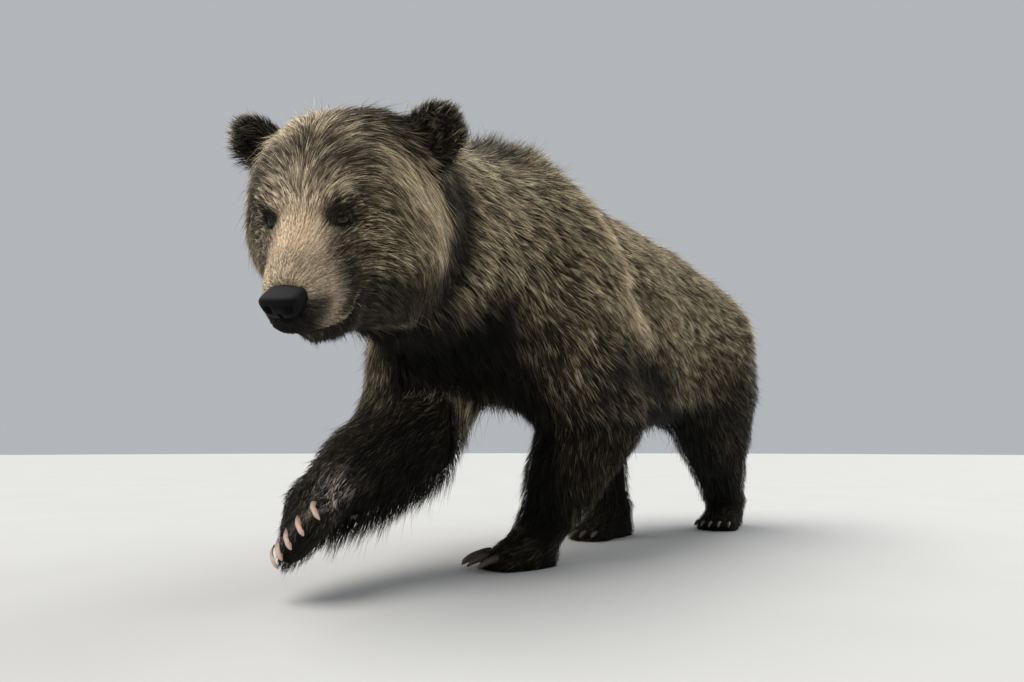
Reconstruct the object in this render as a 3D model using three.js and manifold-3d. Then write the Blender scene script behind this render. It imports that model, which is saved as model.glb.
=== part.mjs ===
// A walking grizzly bear at life size, one named mesh for each part of its body.
//
// Units are millimetres and +Z is up. The bear walks towards -Y, its left side
// is towards +X, and the soles of its three standing feet are on Z = 0. The
// right forefoot is in the air. The outlines run out to the tips of the coat.
//
// The body is one smooth field, negative inside: round cones and ellipsoids
// blended into each other. Each part is a piece of that body, meshed at a pitch
// of its own and parted from its neighbours by thin flat cuts.
//
// Places on the body are written (forward, left, up), measured from the floor
// under the withers.

import * as THREE from "three";
import { mergeVertices } from "three/addons/utils/BufferGeometryUtils.js";
import Module from "manifold-3d";

const wasm = await Module();
wasm.setup();

// ---------------------------------------------------------------- dimensions

const DEG = Math.PI / 180;
const GAP = 0.6; // between neighbouring parts
const LEG_BLEND = 70; // how softly a leg flows into the trunk
const HEAD_BLEND = 60;
const CLAW_SPLAY = 4 * DEG;
const FAR = 3000; // larger than the animal

const SHOULDER_TOP = 1100;
const HIP_TOP = 990;
const HUMP_RADIUS = 250;

const UPPER_ARM = 290;
const FOREARM = 330;
const THIGH = 340;
const SHANK = 300;
const WRIST_HEIGHT = 92;
const ANKLE_HEIGHT = 94;

const HEAD_YAW = 28 * DEG; // turned to the left
const HEAD_PITCH = 37 * DEG; // nodded down
const HEAD_ROLL = 2 * DEG;

const EAR = { forward: -60, left: 173, up: 102, radius: 56, thick: 27 };
const EAR_ROOT = { left: 128, up: 66, radius: 54 };
const NOSE = { forward: 275, up: -67, long: 30, wide: 38, tall: 29 };
const EYE = { left: 63, up: 19, radius: 13, sunk: 9.5 };

// `sag` is how far the pads of a lifted foot hang away from its bones.
const FRONT_PAW = {
  reach: 125, heel: 8, pitch: 31, toe: 26, palm: 46, wrist: 58, sole: WRIST_HEIGHT, sag: 0,
};
const LIMP_PAW = { ...FRONT_PAW, reach: 136, wrist: 54, sag: 22 };
const HIND_PAW = {
  reach: 158, heel: 62, pitch: 28, toe: 25, palm: 46, wrist: 68, sole: ANKLE_HEIGHT, sag: 0,
};
const PAD = { back: 30, ahead: -10, backUp: 40, aheadUp: 24, backRadius: 34, aheadRadius: 26 };
// A claw's root lies `ahead` and `above` its toe's tip, both in toe radii.
const FRONT_CLAW = { length: 76, radius: 8.5, bend: 54 * DEG, rise: 6 * DEG, ahead: 0.5, above: 0.45 };
const LIMP_CLAW = { length: 60, radius: 8.5, bend: 75 * DEG, rise: -2 * DEG, ahead: -0.25, above: 0.95 };
const HIND_CLAW = { length: 46, radius: 7, bend: 50 * DEG, rise: 2 * DEG, ahead: 0.5, above: 0.45 };

// Mesh pitch of each part.
const PITCH = {
  trunk: 79, neck: 66, head: 31.5, ear: 21, nose: 18, tail: 34, upper: 70, lower: 57, paw: 32.5,
};

const COLOURS = {
  coat: 0x6b6048, face: 0x7a6a50, dark: 0x2c2620, ear: 0x2e2822,
  nose: 0x1c1a1a, eye: 0x120d0a, claw: 0x3a3029, paleClaw: 0x8f7f6b,
};

// -------------------------------------------------------------------- fields

const point = (forward, left, up) => new THREE.Vector3(left, -forward, up);
const UP = new THREE.Vector3(0, 0, 1);

// Two balls joined by the cone that touches both.
function roundCone(a, b, ra, rb) {
  const axis = b.clone().sub(a);
  const length = axis.length();
  axis.divideScalar(length);
  const slope = (ra - rb) / length;
  const lean = Math.sqrt(Math.max(1 - slope * slope, 0));
  const v = new THREE.Vector3();
  return (p) => {
    v.copy(p).sub(a);
    const along = v.dot(axis);
    const across = Math.sqrt(Math.max(v.lengthSq() - along * along, 0));
    const t = along - (across * slope) / Math.max(lean, 1e-6);
    if (t <= 0) return Math.hypot(along, across) - ra;
    if (t >= length) return Math.hypot(along - length, across) - rb;
    return across * lean + along * slope - ra;
  };
}

function ellipsoid(centre, half) {
  const v = new THREE.Vector3();
  const g = new THREE.Vector3();
  return (p) => {
    v.copy(p).sub(centre);
    const k0 = g.copy(v).divide(half).length();
    const k1 = g.divide(half).length();
    return k1 < 1e-9 ? -Math.min(half.x, half.y, half.z) : (k0 * (k0 - 1)) / k1;
  };
}

// A field built in a part's own axes, seen from the bear's.
function placed(field, inverse) {
  const q = new THREE.Vector3();
  return (p) => field(q.copy(p).applyMatrix4(inverse));
}

function smoothMin(a, b, k) {
  const h = Math.max(k - Math.abs(a - b), 0) / k;
  return Math.min(a, b) - (h * h * k) / 4;
}

const blend = (fields, k) => (p) =>
  fields.map((f) => f(p)).reduce((a, b) => smoothMin(a, b, k));

// Round cones through a row of balls, each given as [centre, radius].
const chain = (balls, k) =>
  blend(
    balls.slice(1).map(([c, r], i) => roundCone(balls[i][0], c, balls[i][1], r)),
    k,
  );

// A part's own axes, for places written (forward, left, up) in that part.
function axesAt(origin, forward, up) {
  const f = forward.clone().normalize();
  const u = up.clone().addScaledVector(f, -up.dot(f)).normalize();
  const left = new THREE.Vector3().crossVectors(u, f);
  return new THREE.Matrix4().makeBasis(left, f.negate(), u).setPosition(origin);
}

// Where the middle joint of a two-bone limb lies, bent towards `pole`.
function middleJoint(top, end, upper, lower, pole) {
  const line = end.clone().sub(top);
  const reach = Math.min(line.length(), (upper + lower) * 0.999);
  line.normalize();
  const along = (upper * upper - lower * lower + reach * reach) / (2 * reach);
  const out = Math.sqrt(Math.max(upper * upper - along * along, 0));
  const side = pole.clone().addScaledVector(line, -pole.dot(line)).normalize();
  return top.clone().addScaledVector(line, along).addScaledVector(side, out);
}

// --------------------------------------------------------------------- trunk

const torsoBalls = [
  [point(-1020, 0, HIP_TOP - 320), 205],
  [point(-880, 0, HIP_TOP - 302), 268],
  [point(-620, 0, HIP_TOP - 300), 300],
  [point(-340, 0, HIP_TOP - 295), 308],
  [point(-60, 0, HIP_TOP - 260), 300],
  [point(120, 0, HIP_TOP - 245), 250],
];
const hump = ellipsoid(
  point(8, 0, SHOULDER_TOP - HUMP_RADIUS),
  new THREE.Vector3(196, 225, HUMP_RADIUS),
);
const torso = blend([chain(torsoBalls, 60), hump], 90);

const neckBalls = [
  [point(60, 0, 775), 262],
  [point(250, 22, 765), 234],
  [point(420, 80, 758), 212],
  [point(570, 150, 750), 178],
];
const spine = blend([torso, chain(neckBalls, 60)], 90);

const tail = chain(
  [
    [point(-1168, 0, 778), 44],
    [point(-1218, 0, 692), 34],
  ],
  20,
);

// ---------------------------------------------------------------------- head

const headOrigin = point(680, 212, 728);
const headForward = point(
  Math.cos(HEAD_YAW) * Math.cos(HEAD_PITCH),
  Math.sin(HEAD_YAW) * Math.cos(HEAD_PITCH),
  -Math.sin(HEAD_PITCH),
);
const headAxes = axesAt(headOrigin, headForward, UP).multiply(
  new THREE.Matrix4().makeRotationY(HEAD_ROLL),
);
const headInverse = headAxes.clone().invert();
const bothSides = (make) => [make(1), make(-1)];

const skull = blend(
  [
    ellipsoid(point(-8, 0, 8), new THREE.Vector3(152, 162, 152)),
    ...bothSides((s) => ellipsoid(point(5, s * 93, -58), new THREE.Vector3(84, 112, 104))),
    ...bothSides((s) => ellipsoid(point(92, s * 44, 46), new THREE.Vector3(48, 52, 42))),
    ...bothSides((s) => roundCone(point(90, s * 10, -38), point(232, s * 9, -72), 76, 44)),
    roundCone(point(0, 0, -98), point(205, 0, -108), 92, 34),
    roundCone(point(150, 0, -98), point(252, 0, -91), 42, 25),
    ...bothSides((s) => roundCone(point(4, s * 48, -160), point(145, s * 18, -122), 78, 32)),
  ],
  46,
);
const head = placed(skull, headInverse);
const body = blend([spine, head], HEAD_BLEND);

// Walks from inside the field along a line until it comes out.
function surfaceFrom(field, start, direction) {
  const p = start.clone();
  for (let n = 0; n < 60; n++) p.addScaledVector(direction, -field(p) * 0.8);
  return p;
}

const eyeCentres = bothSides((s) => {
  const gaze = point(0.86, s * 0.5, 0.08).normalize();
  const lid = surfaceFrom(skull, point(60, s * EYE.left, EYE.up), point(1, 0, 0));
  return lid.addScaledVector(gaze, -EYE.sunk).applyMatrix4(headAxes);
});

// A rounded ear, flattened from front to back, on a wide root.
function earField(side) {
  const flatness = EAR.radius / EAR.thick;
  const tip = point(0, side * EAR.left, EAR.up);
  const root = point(0, side * EAR_ROOT.left, EAR_ROOT.up);
  const round = roundCone(tip, root, EAR.radius, EAR_ROOT.radius);
  const q = new THREE.Vector3();
  const flat = (p) => round(q.set(p.x, (p.y + EAR.forward) * flatness, p.z)) / flatness;
  return placed(flat, headInverse);
}

const noseField = placed(
  ellipsoid(
    point(NOSE.forward, 0, NOSE.up),
    new THREE.Vector3(NOSE.wide, NOSE.long, NOSE.tall),
  ),
  headInverse,
);

// ---------------------------------------------------------------------- legs

// Where a toe's tip lies in its foot's own axes, the joint above it at the
// origin. Toes are numbered -2 to 2 from one side of the foot to the other.
function toeTip(paw, toe) {
  return point(paw.reach - 7 * toe * toe, toe * paw.pitch, -paw.sole + paw.toe - 6);
}

const TOES = [-2, -1, 0, 1, 2];

// `bent` is how far below the origin the limb meets a foot that hangs bent.
function pawField(paw, bent) {
  const floor = -paw.sole;
  const toes = TOES.map((toe) => {
    const tip = toeTip(paw, toe);
    const root = tip.clone().add(point(-58, -toe * paw.pitch * 0.25, 16));
    return roundCone(root, tip, paw.toe + 6, paw.toe);
  });
  const palm = roundCone(
    point(-paw.heel, 0, floor + 36),
    point(paw.reach - 62, 0, floor + 32),
    paw.palm,
    paw.palm + 4,
  );
  const wrist = roundCone(
    point(-6, 0, 15 - bent),
    point(8, 0, floor + 45),
    paw.wrist,
    paw.palm + 4,
  );
  const pads = bothSides((s) =>
    roundCone(
      point(PAD.back, s * paw.pitch, floor + PAD.backUp - paw.sag),
      point(paw.reach + PAD.ahead, s * paw.pitch, floor + PAD.aheadUp - paw.sag),
      PAD.backRadius,
      PAD.aheadRadius,
    ),
  );
  return blend([palm, wrist, ...toes, ...(paw.sag ? pads : [])], 20);
}

const heading = (degrees) => point(Math.cos(degrees * DEG), Math.sin(degrees * DEG), 0);

// Each leg: the joints it hangs from and ends at, the way its middle joint
// bends, the way its toes and the back of its foot point.
const legs = {
  front_left: {
    fore: true,
    top: point(10, 165, 620), end: point(-45, 78, WRIST_HEIGHT),
    pole: point(-1, 0.35, 0), toes: heading(-36), back: UP, bent: 0,
  },
  front_right: {
    fore: true,
    top: point(130, -160, 600), end: point(522, -77, 172),
    pole: point(-1, 0.3, -0.4), toes: point(0.81, 0.52, -0.26), back: point(0.36, -0.62, 0.7), bent: 45,
  },
  hind_left: {
    fore: false,
    top: point(-860, 150, 640), end: point(-1195, 85, ANKLE_HEIGHT),
    pole: point(1, 0.2, 0), toes: heading(6), back: UP, bent: 0,
  },
  hind_right: {
    fore: false,
    top: point(-830, -150, 640), end: point(-665, -95, ANKLE_HEIGHT),
    pole: point(1, -0.2, 0), toes: heading(-6), back: UP, bent: 0,
  },
};

const FRONT_LIMB = { upper: UPPER_ARM, lower: FOREARM, radii: [162, 144, 134, 103, 63] };
const HIND_LIMB = { upper: THIGH, lower: SHANK, radii: [205, 180, 132, 94, 74] };

for (const leg of Object.values(legs)) {
  const { upper, lower, radii } = leg.fore ? FRONT_LIMB : HIND_LIMB;
  leg.middle = middleJoint(leg.top, leg.end, upper, lower, leg.pole);
  const joints = [
    leg.top,
    leg.top.clone().lerp(leg.middle, 0.5),
    leg.middle,
    leg.middle.clone().lerp(leg.end, 0.55),
    leg.end,
  ];
  leg.paw = leg.bent ? LIMP_PAW : leg.fore ? FRONT_PAW : HIND_PAW;
  const origin = leg.end.clone().addScaledVector(leg.back.clone().normalize(), leg.bent);
  leg.axes = axesAt(origin, leg.toes, leg.back);
  const foot = placed(pawField(leg.paw, leg.bent), leg.axes.clone().invert());
  // Only a planted foot has a flat: the plane lies clear of sagging pads.
  const depth = leg.paw.sole + 2 * leg.paw.sag;
  const soleAt = origin.clone().addScaledVector(leg.back.clone().normalize(), -depth);
  leg.sole = { at: soleAt, towards: leg.back };
  leg.footwards = (leg.bent ? leg.toes : leg.back.clone().negate()).clone().normalize();
  leg.limb = chain(joints.map((c, i) => [c, radii[i]]), 50);
  leg.field = blend([leg.limb, foot], 30);
}

// ------------------------------------------------------------------- meshing

// A closed mesh of the field's surface inside a box: one vertex for each cell
// that the surface crosses, moved onto the surface.
function netOf(field, box, pitch) {
  const counts = box.getSize(new THREE.Vector3()).divideScalar(pitch).ceil().addScalar(1);
  const [nx, ny, nz] = counts.toArray();
  const at = (i, j, k) => i + nx * (j + ny * k);
  const gridPoint = (i, j, k) => new THREE.Vector3(i, j, k).multiplyScalar(pitch).add(box.min);
  const value = new Float64Array(nx * ny * nz);
  for (let k = 0; k < nz; k++)
    for (let j = 0; j < ny; j++)
      for (let i = 0; i < nx; i++) {
        const rim = [i, j, k].some((n, axis) => n === 0 || n === [nx, ny, nz][axis] - 1);
        const distance = field(gridPoint(i, j, k));
        value[at(i, j, k)] = rim ? Math.max(distance, pitch / 2) : distance;
      }

  const corners = Array.from({ length: 8 }, (_, c) => new THREE.Vector3(c & 1, (c >> 1) & 1, c >> 2));
  const edges = [];
  for (let a = 0; a < 8; a++)
    for (const bit of [1, 2, 4]) if (!(a & bit)) edges.push([a, a | bit]);

  const vertexOf = new Int32Array(value.length).fill(-1);
  const vertices = [];
  for (let k = 0; k < nz - 1; k++)
    for (let j = 0; j < ny - 1; j++)
      for (let i = 0; i < nx - 1; i++) {
        const v = corners.map((c) => value[at(i + c.x, j + c.y, k + c.z)]);
        const crossings = edges
          .filter(([a, b]) => v[a] < 0 !== v[b] < 0)
          .map(([a, b]) => corners[a].clone().lerp(corners[b], v[a] / (v[a] - v[b])));
        if (!crossings.length) continue;
        const middle = crossings.reduce((sum, c) => sum.add(c), new THREE.Vector3());
        middle.divideScalar(crossings.length).multiplyScalar(pitch).add(gridPoint(i, j, k));
        vertexOf[at(i, j, k)] = vertices.length;
        vertices.push(ontoSurface(field, middle, pitch));
      }

  const index = [];
  const quad = (a, b, c, d, flip) => index.push(...(flip ? [a, c, b, a, d, c] : [a, b, c, a, c, d]));
  for (let k = 0; k < nz - 1; k++)
    for (let j = 0; j < ny - 1; j++)
      for (let i = 0; i < nx - 1; i++) {
        const inside = value[at(i, j, k)] < 0;
        const cell = (di, dj, dk) => vertexOf[at(i - di, j - dj, k - dk)];
        if (inside !== value[at(i + 1, j, k)] < 0)
          quad(cell(0, 1, 1), cell(0, 0, 1), cell(0, 0, 0), cell(0, 1, 0), !inside);
        if (inside !== value[at(i, j + 1, k)] < 0)
          quad(cell(1, 0, 1), cell(1, 0, 0), cell(0, 0, 0), cell(0, 0, 1), !inside);
        if (inside !== value[at(i, j, k + 1)] < 0)
          quad(cell(1, 1, 0), cell(0, 1, 0), cell(0, 0, 0), cell(1, 0, 0), !inside);
      }
  return { vertices, index, field };
}

function slopeAt(field, p) {
  const h = 0.5;
  const here = field(p);
  return new THREE.Vector3(
    field(p.clone().setX(p.x + h)) - here,
    field(p.clone().setY(p.y + h)) - here,
    field(p.clone().setZ(p.z + h)) - here,
  ).divideScalar(h);
}

function ontoSurface(field, p, pitch) {
  for (let n = 0; n < 3; n++) {
    const slope = slopeAt(field, p);
    const move = field(p) / Math.max(slope.lengthSq(), 0.2);
    p.addScaledVector(slope, -THREE.MathUtils.clamp(move, -pitch / 3, pitch / 3));
  }
  return p;
}

// The net as a solid, its surface moved out by `growth`.
function solidOfNet(net, growth = 0) {
  const moved = net.vertices.map((p) =>
    growth ? p.clone().addScaledVector(slopeAt(net.field, p).normalize(), growth) : p,
  );
  return solidFrom(new Float32Array(moved.flatMap((p) => p.toArray())), new Uint32Array(net.index));
}

function solidFrom(vertProperties, triVerts) {
  return new wasm.Manifold(new wasm.Mesh({ numProp: 3, vertProperties, triVerts }));
}

// A closed three.js geometry, placed by a matrix, as a solid.
function solidOf(geometry, matrix = new THREE.Matrix4()) {
  const bare = geometry.clone().deleteAttribute("normal").deleteAttribute("uv");
  const merged = mergeVertices(bare.applyMatrix4(matrix), 1e-3);
  return solidFrom(merged.getAttribute("position").array, new Uint32Array(merged.index.array));
}

function geometryOf(solid) {
  const mesh = solid.getMesh();
  const geometry = new THREE.BufferGeometry();
  geometry.setAttribute("position", new THREE.BufferAttribute(mesh.vertProperties, 3));
  geometry.setIndex(new THREE.BufferAttribute(mesh.triVerts, 1));
  geometry.computeVertexNormals();
  return geometry;
}

// A large block whose flat face passes through a point, all of it on the side
// that `towards` points to and `gap` away from the point.
function blockBeyond(through, towards, gap = 0) {
  const direction = towards.clone().normalize();
  const turn = new THREE.Quaternion().setFromUnitVectors(UP, direction);
  const centre = through.clone().addScaledVector(direction, FAR / 2 + gap);
  const matrix = new THREE.Matrix4().compose(centre, turn, new THREE.Vector3(1, 1, 1));
  return solidOf(new THREE.BoxGeometry(2 * FAR, 2 * FAR, FAR), matrix);
}

// A block with the given outline seen from the front, [left, up] points, and a
// stretch from back to front.
function frontPrism(outline, back, front) {
  const shape = new THREE.Shape(outline.map(([left, up]) => new THREE.Vector2(left, up)));
  const geometry = new THREE.ExtrudeGeometry(shape, { depth: front - back, bevelEnabled: false });
  const matrix = new THREE.Matrix4().makeRotationX(Math.PI / 2);
  return solidOf(geometry, matrix.setPosition(0, -back, 0));
}

// --------------------------------------------------------------------- parts

const bear = new THREE.Group();

function addPart(name, solid, color, roughness) {
  const material = new THREE.MeshStandardMaterial({ color, roughness, metalness: 0 });
  const mesh = new THREE.Mesh(geometryOf(solid), material);
  mesh.name = name;
  bear.add(mesh);
}

const boxOf = (back, front, right, left, bottom, top) =>
  new THREE.Box3(new THREE.Vector3(right, -front, bottom), new THREE.Vector3(left, -back, top));

// The cut between trunk and neck, and the one between neck and head.
const neckCut = { at: point(300, 35, 765), towards: point(0.82, 0.28, 0.42) };
const napeCut = {
  at: point(-105, 0, 0).applyMatrix4(headAxes),
  towards: headForward.clone().add(point(0.74, 0.35, -0.04)),
};
const beyond = (cut) => blockBeyond(cut.at, cut.towards, GAP / 2);
const before = (cut) => blockBeyond(cut.at, cut.towards.clone().negate(), GAP / 2);

// What belongs to a leg: all that lies under a plane rising outwards from the
// middle of the belly, between two upright cuts, and a low block round the foot.
const LEG_REACH = 480;
const legRegions = {
  front_left: {
    side: 1, top: 455, slope: 0.55, back: -330, front: 380,
    foot: { back: -330, front: 380, inner: -300, top: 175 },
  },
  front_right: {
    side: -1, top: 455, slope: 0.55, back: -230, front: 380,
    foot: { back: 200, front: 950, inner: -200, top: 425 },
  },
  hind_left: {
    side: 1, top: 420, slope: 0.75, back: -1500, front: -600,
    foot: { back: -1500, front: -600, inner: 0, top: 300 },
  },
  hind_right: {
    side: -1, top: 420, slope: 0.75, back: -1500, front: -440,
    foot: { back: -1500, front: -260, inner: 0, top: 300 },
  },
};

// `growth` widens the region, to cut what is next to it.
function legRegion({ side, top, slope, back, front, foot }, growth) {
  const inner = GAP / 2 - growth;
  const upright = [
    [inner, -FAR],
    [inner, top + growth * 1.3],
    [LEG_REACH, top + slope * LEG_REACH + growth * 1.3],
    [LEG_REACH, -FAR],
  ];
  const low = [
    [foot.inner + inner, -FAR],
    [foot.inner + inner, foot.top + growth],
    [LEG_REACH, foot.top + growth],
    [LEG_REACH, -FAR],
  ];
  const onSide = (outline) => outline.map(([left, up]) => [side * left, up]);
  return frontPrism(onSide(upright), back - growth, front + growth).add(
    frontPrism(onSide(low), foot.back - growth, foot.front + growth),
  );
}

// Trunk, neck and tail.
const legged = (p) => {
  const base = spine(p);
  return Math.min(...Object.values(legs).map((leg) => smoothMin(base, leg.field(p), LEG_BLEND)));
};
const legSpace = Object.values(legRegions)
  .map((region) => legRegion(region, GAP))
  .reduce((a, b) => a.add(b));

const trunkNet = netOf(legged, boxOf(-1420, 560, -430, 430, 300, 1200), PITCH.trunk);
const cutTrunk = (solid) => solid.intersect(before(neckCut)).subtract(legSpace);
addPart("trunk", cutTrunk(solidOfNet(trunkNet)), COLOURS.coat, 0.95);

const neckBody = (p) => smoothMin(legged(p), head(p), HEAD_BLEND);
const neckNet = netOf(neckBody, boxOf(150, 900, -400, 500, 380, 1150), PITCH.neck);
const neckSolid = solidOfNet(neckNet).intersect(beyond(neckCut)).intersect(before(napeCut));
addPart("neck", neckSolid.subtract(legSpace), COLOURS.coat, 0.95);

const tailNet = netOf(tail, boxOf(-1400, -1000, -120, 120, 600, 920), PITCH.tail);
addPart("tail", solidOfNet(tailNet).subtract(solidOfNet(trunkNet, GAP)), COLOURS.coat, 0.95);

// Head, with the ears standing on it and the eyes and nose let into it.
const headNet = netOf(body, boxOf(360, 1020, -120, 560, 380, 1060), PITCH.head);
const noseNet = netOf(noseField, boxOf(700, 1000, 180, 450, 350, 680), PITCH.nose);
const ball = (centre, radius) =>
  solidOf(new THREE.SphereGeometry(radius, 10, 6), new THREE.Matrix4().setPosition(centre));

let headSolid = solidOfNet(headNet).intersect(beyond(napeCut));
headSolid = headSolid.subtract(solidOfNet(noseNet, GAP));
for (const centre of eyeCentres) headSolid = headSolid.subtract(ball(centre, EYE.radius + GAP));
addPart("head", headSolid, COLOURS.face, 0.9);
addPart("nose", solidOfNet(noseNet), COLOURS.nose, 0.5);

const grownHead = solidOfNet(headNet, GAP);
for (const [name, side, centre] of [["left", 1, eyeCentres[0]], ["right", -1, eyeCentres[1]]]) {
  const earNet = netOf(earField(side), boxOf(450, 850, -100, 560, 650, 1050), PITCH.ear);
  addPart(`ear_${name}`, solidOfNet(earNet).subtract(grownHead), COLOURS.ear, 0.95);
  addPart(`eye_${name}`, ball(centre, EYE.radius), COLOURS.eye, 0.15);
}

// A claw: a cone bent down along an arc, its base at the origin.
function clawGeometry({ length, radius, bend, rise }) {
  const profile = [[0, 0], [1, 0], [0.9, 0.35], [0.6, 0.72], [0, 1]];
  const cone = new THREE.LatheGeometry(
    profile.map(([r, y]) => new THREE.Vector2(r * radius, y * length)),
    5,
  );
  const place = cone.getAttribute("position");
  const curve = length / bend;
  for (let n = 0; n < place.count; n++) {
    const angle = rise - (bend * place.getY(n)) / length;
    const forward = curve * (Math.sin(rise) - Math.sin(angle));
    const up = curve * (Math.cos(angle) - Math.cos(rise));
    const thick = place.getZ(n) * 1.15;
    const left = -place.getX(n) * 0.75;
    const out = point(forward - thick * Math.sin(angle), left, up + thick * Math.cos(angle));
    place.setXYZ(n, out.x, out.y, out.z);
  }
  return cone;
}

// Each leg in three parts, and five claws numbered from the inside out.
for (const [name, leg] of Object.entries(legs)) {
  const region = legRegion(legRegions[name], 0);
  const field = (p) => smoothMin(spine(p), leg.field(p), LEG_BLEND);
  const { end, top, middle } = leg;
  const bendCut = {
    at: middle,
    towards: middle.clone().sub(top).normalize().add(end.clone().sub(middle).normalize()),
  };
  const footCut = { at: end.clone().addScaledVector(leg.footwards, -22), towards: leg.footwards };
  const around = (points, margin) => new THREE.Box3().setFromPoints(points).expandByScalar(margin);
  const whole = (box, pitch) => solidOfNet(netOf(field, box, pitch)).intersect(region);

  const thigh = whole(around([top, middle, end], 330), PITCH.upper);
  addPart(`${name}_upper`, thigh.intersect(before(bendCut)), COLOURS.coat, 0.95);

  const shin = whole(around([middle, end], 240), PITCH.lower);
  const lower = shin.intersect(beyond(bendCut)).intersect(before(footCut));
  addPart(`${name}_lower`, lower, COLOURS.dark, 0.95);

  const pawNet = netOf(field, around([end], 290), PITCH.paw);
  const aboveSole = blockBeyond(leg.sole.at, leg.sole.towards);
  const paw = solidOfNet(pawNet).intersect(region).intersect(beyond(footCut)).intersect(aboveSole);
  addPart(`${name}_paw`, paw, COLOURS.dark, 0.95);

  const skin = solidOfNet(pawNet, GAP);
  const clawKind = leg.bent ? LIMP_CLAW : leg.fore ? FRONT_CLAW : HIND_CLAW;
  const claw = clawGeometry(clawKind);
  for (const toe of TOES) {
    const offset = point(clawKind.ahead, 0, clawKind.above).multiplyScalar(leg.paw.toe);
    const root = toeTip(leg.paw, toe).add(offset);
    const splay = new THREE.Matrix4().makeRotationZ(toe * CLAW_SPLAY).setPosition(root);
    const solid = solidOf(claw, leg.axes.clone().multiply(splay)).subtract(skin);
    const number = legRegions[name].side * toe + 3;
    const colour = name === "front_right" ? COLOURS.paleClaw : COLOURS.claw;
    addPart(`${name}_claw_${number}`, solid, colour, 0.5);
  }
}

// The origin goes to the middle of the footprint, on the floor.
const extent = new THREE.Box3().setFromObject(bear);
const middleOf = extent.getCenter(new THREE.Vector3());
bear.position.set(-middleOf.x, -middleOf.y, -extent.min.z);
bear.updateMatrixWorld(true);

export default bear;
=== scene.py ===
# %% [markdown]
# # A grizzly bear, life size
# The bear steps forward with its head low and one forepaw lifted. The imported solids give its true
# outline, out to the tips of the coat. This file dresses them: one skin under the coat, the coat
# itself as many thousands of small tapered tufts, and the bare pieces that stay apart, which are
# the eyes with their lids, the nose pad and the claws.

import itertools
import math

import bmesh
import bpy
import numpy as np
from mathutils import Matrix, Vector
from mathutils.bvhtree import BVHTree
from mathutils.kdtree import KDTree


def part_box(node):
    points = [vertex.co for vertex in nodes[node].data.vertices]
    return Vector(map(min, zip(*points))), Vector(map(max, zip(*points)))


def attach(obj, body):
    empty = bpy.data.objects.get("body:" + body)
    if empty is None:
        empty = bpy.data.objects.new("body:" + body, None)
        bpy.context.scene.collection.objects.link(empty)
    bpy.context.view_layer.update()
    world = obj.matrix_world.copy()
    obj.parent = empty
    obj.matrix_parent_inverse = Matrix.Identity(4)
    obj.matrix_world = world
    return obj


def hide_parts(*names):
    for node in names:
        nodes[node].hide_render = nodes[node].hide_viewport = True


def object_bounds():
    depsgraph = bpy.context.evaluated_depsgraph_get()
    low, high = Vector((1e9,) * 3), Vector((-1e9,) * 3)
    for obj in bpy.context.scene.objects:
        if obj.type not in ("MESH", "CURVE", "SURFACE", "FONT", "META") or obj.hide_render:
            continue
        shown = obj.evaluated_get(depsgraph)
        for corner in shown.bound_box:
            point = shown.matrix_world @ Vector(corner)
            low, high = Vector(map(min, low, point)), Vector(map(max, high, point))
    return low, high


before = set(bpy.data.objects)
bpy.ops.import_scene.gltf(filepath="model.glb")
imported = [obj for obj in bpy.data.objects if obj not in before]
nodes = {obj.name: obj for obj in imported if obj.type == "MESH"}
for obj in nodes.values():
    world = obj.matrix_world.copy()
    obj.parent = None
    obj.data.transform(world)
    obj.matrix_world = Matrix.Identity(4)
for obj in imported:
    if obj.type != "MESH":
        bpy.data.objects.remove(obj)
solid_bounds = np.array(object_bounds())
scene = bpy.context.scene
print("solids", len(nodes), "box", [round(v, 3) for corner in solid_bounds for v in corner])

# %% [markdown]
# ## Where we stand
# A low camera close to the bear makes its head large and its back fall away behind it. The lens is
# wide, so the near forepaw looks big as well. The camera is made first, because every later choice
# is looked at through it.

# %% The camera
CAMERA_PLACE = Vector((1.1601, -1.5918, 0.300))
CAMERA_TURN = math.radians(40.3)
CAMERA_TILT = math.radians(8.8)

lens = bpy.data.cameras.new("camera")
lens.lens = 24
lens.sensor_width = 36
camera = bpy.data.objects.new("camera", lens)
camera.location = CAMERA_PLACE
camera.rotation_euler = (math.pi / 2 + CAMERA_TILT, 0, CAMERA_TURN)
scene.collection.objects.link(camera)
scene.camera = camera
scene.view_settings.view_transform = "Standard"

# %% [markdown]
# ## The head's own axes
# Lids, nostrils and the lie of the face hair are easiest to say in the head's own directions. The
# eyes and the nose give them: across from eye to eye, ahead along the bridge of the muzzle, and up
# out of the bridge. The jaw and the nose pad follow the skull's own length, which is turned up from
# the bridge by a fixed angle. The ears are flat, so the thinnest direction of each tells which way
# it faces.

# %% Places on the head
def middle(name):
    low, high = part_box(name)
    return np.array((low + high) / 2)


def unit(v):
    return v / np.maximum(np.linalg.norm(v, axis=-1, keepdims=True), 1e-9)


def distance(points, place):
    return np.linalg.norm(points - place, axis=1)


def along_surface(vectors, normals):
    """Vectors laid flat on a surface with the given normals, one unit long."""
    return unit(vectors - normals * (vectors * normals).sum(1)[:, None])


JAW_TURN = math.radians(33.5)
SIDES = {"left": 1, "right": -1}
brow = (middle("eye_left") + middle("eye_right")) / 2
across = unit(middle("eye_left") - middle("eye_right"))
nose_middle = middle("nose")
muzzle = nose_middle - brow
ahead = unit(muzzle - across * (muzzle @ across))
above = np.cross(ahead, across)
face_axes = np.array([ahead, across, above])
forward = ahead * math.cos(JAW_TURN) + above * math.sin(JAW_TURN)
upward = above * math.cos(JAW_TURN) - ahead * math.sin(JAW_TURN)
jaw_axes = np.array([forward, across, upward])


def in_face(points):
    """Points as (ahead, left, up) from the middle of the brow, along the muzzle's axes."""
    return (points - brow) @ face_axes.T


def out_of_face(points):
    return np.asarray(points) @ face_axes + brow


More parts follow.
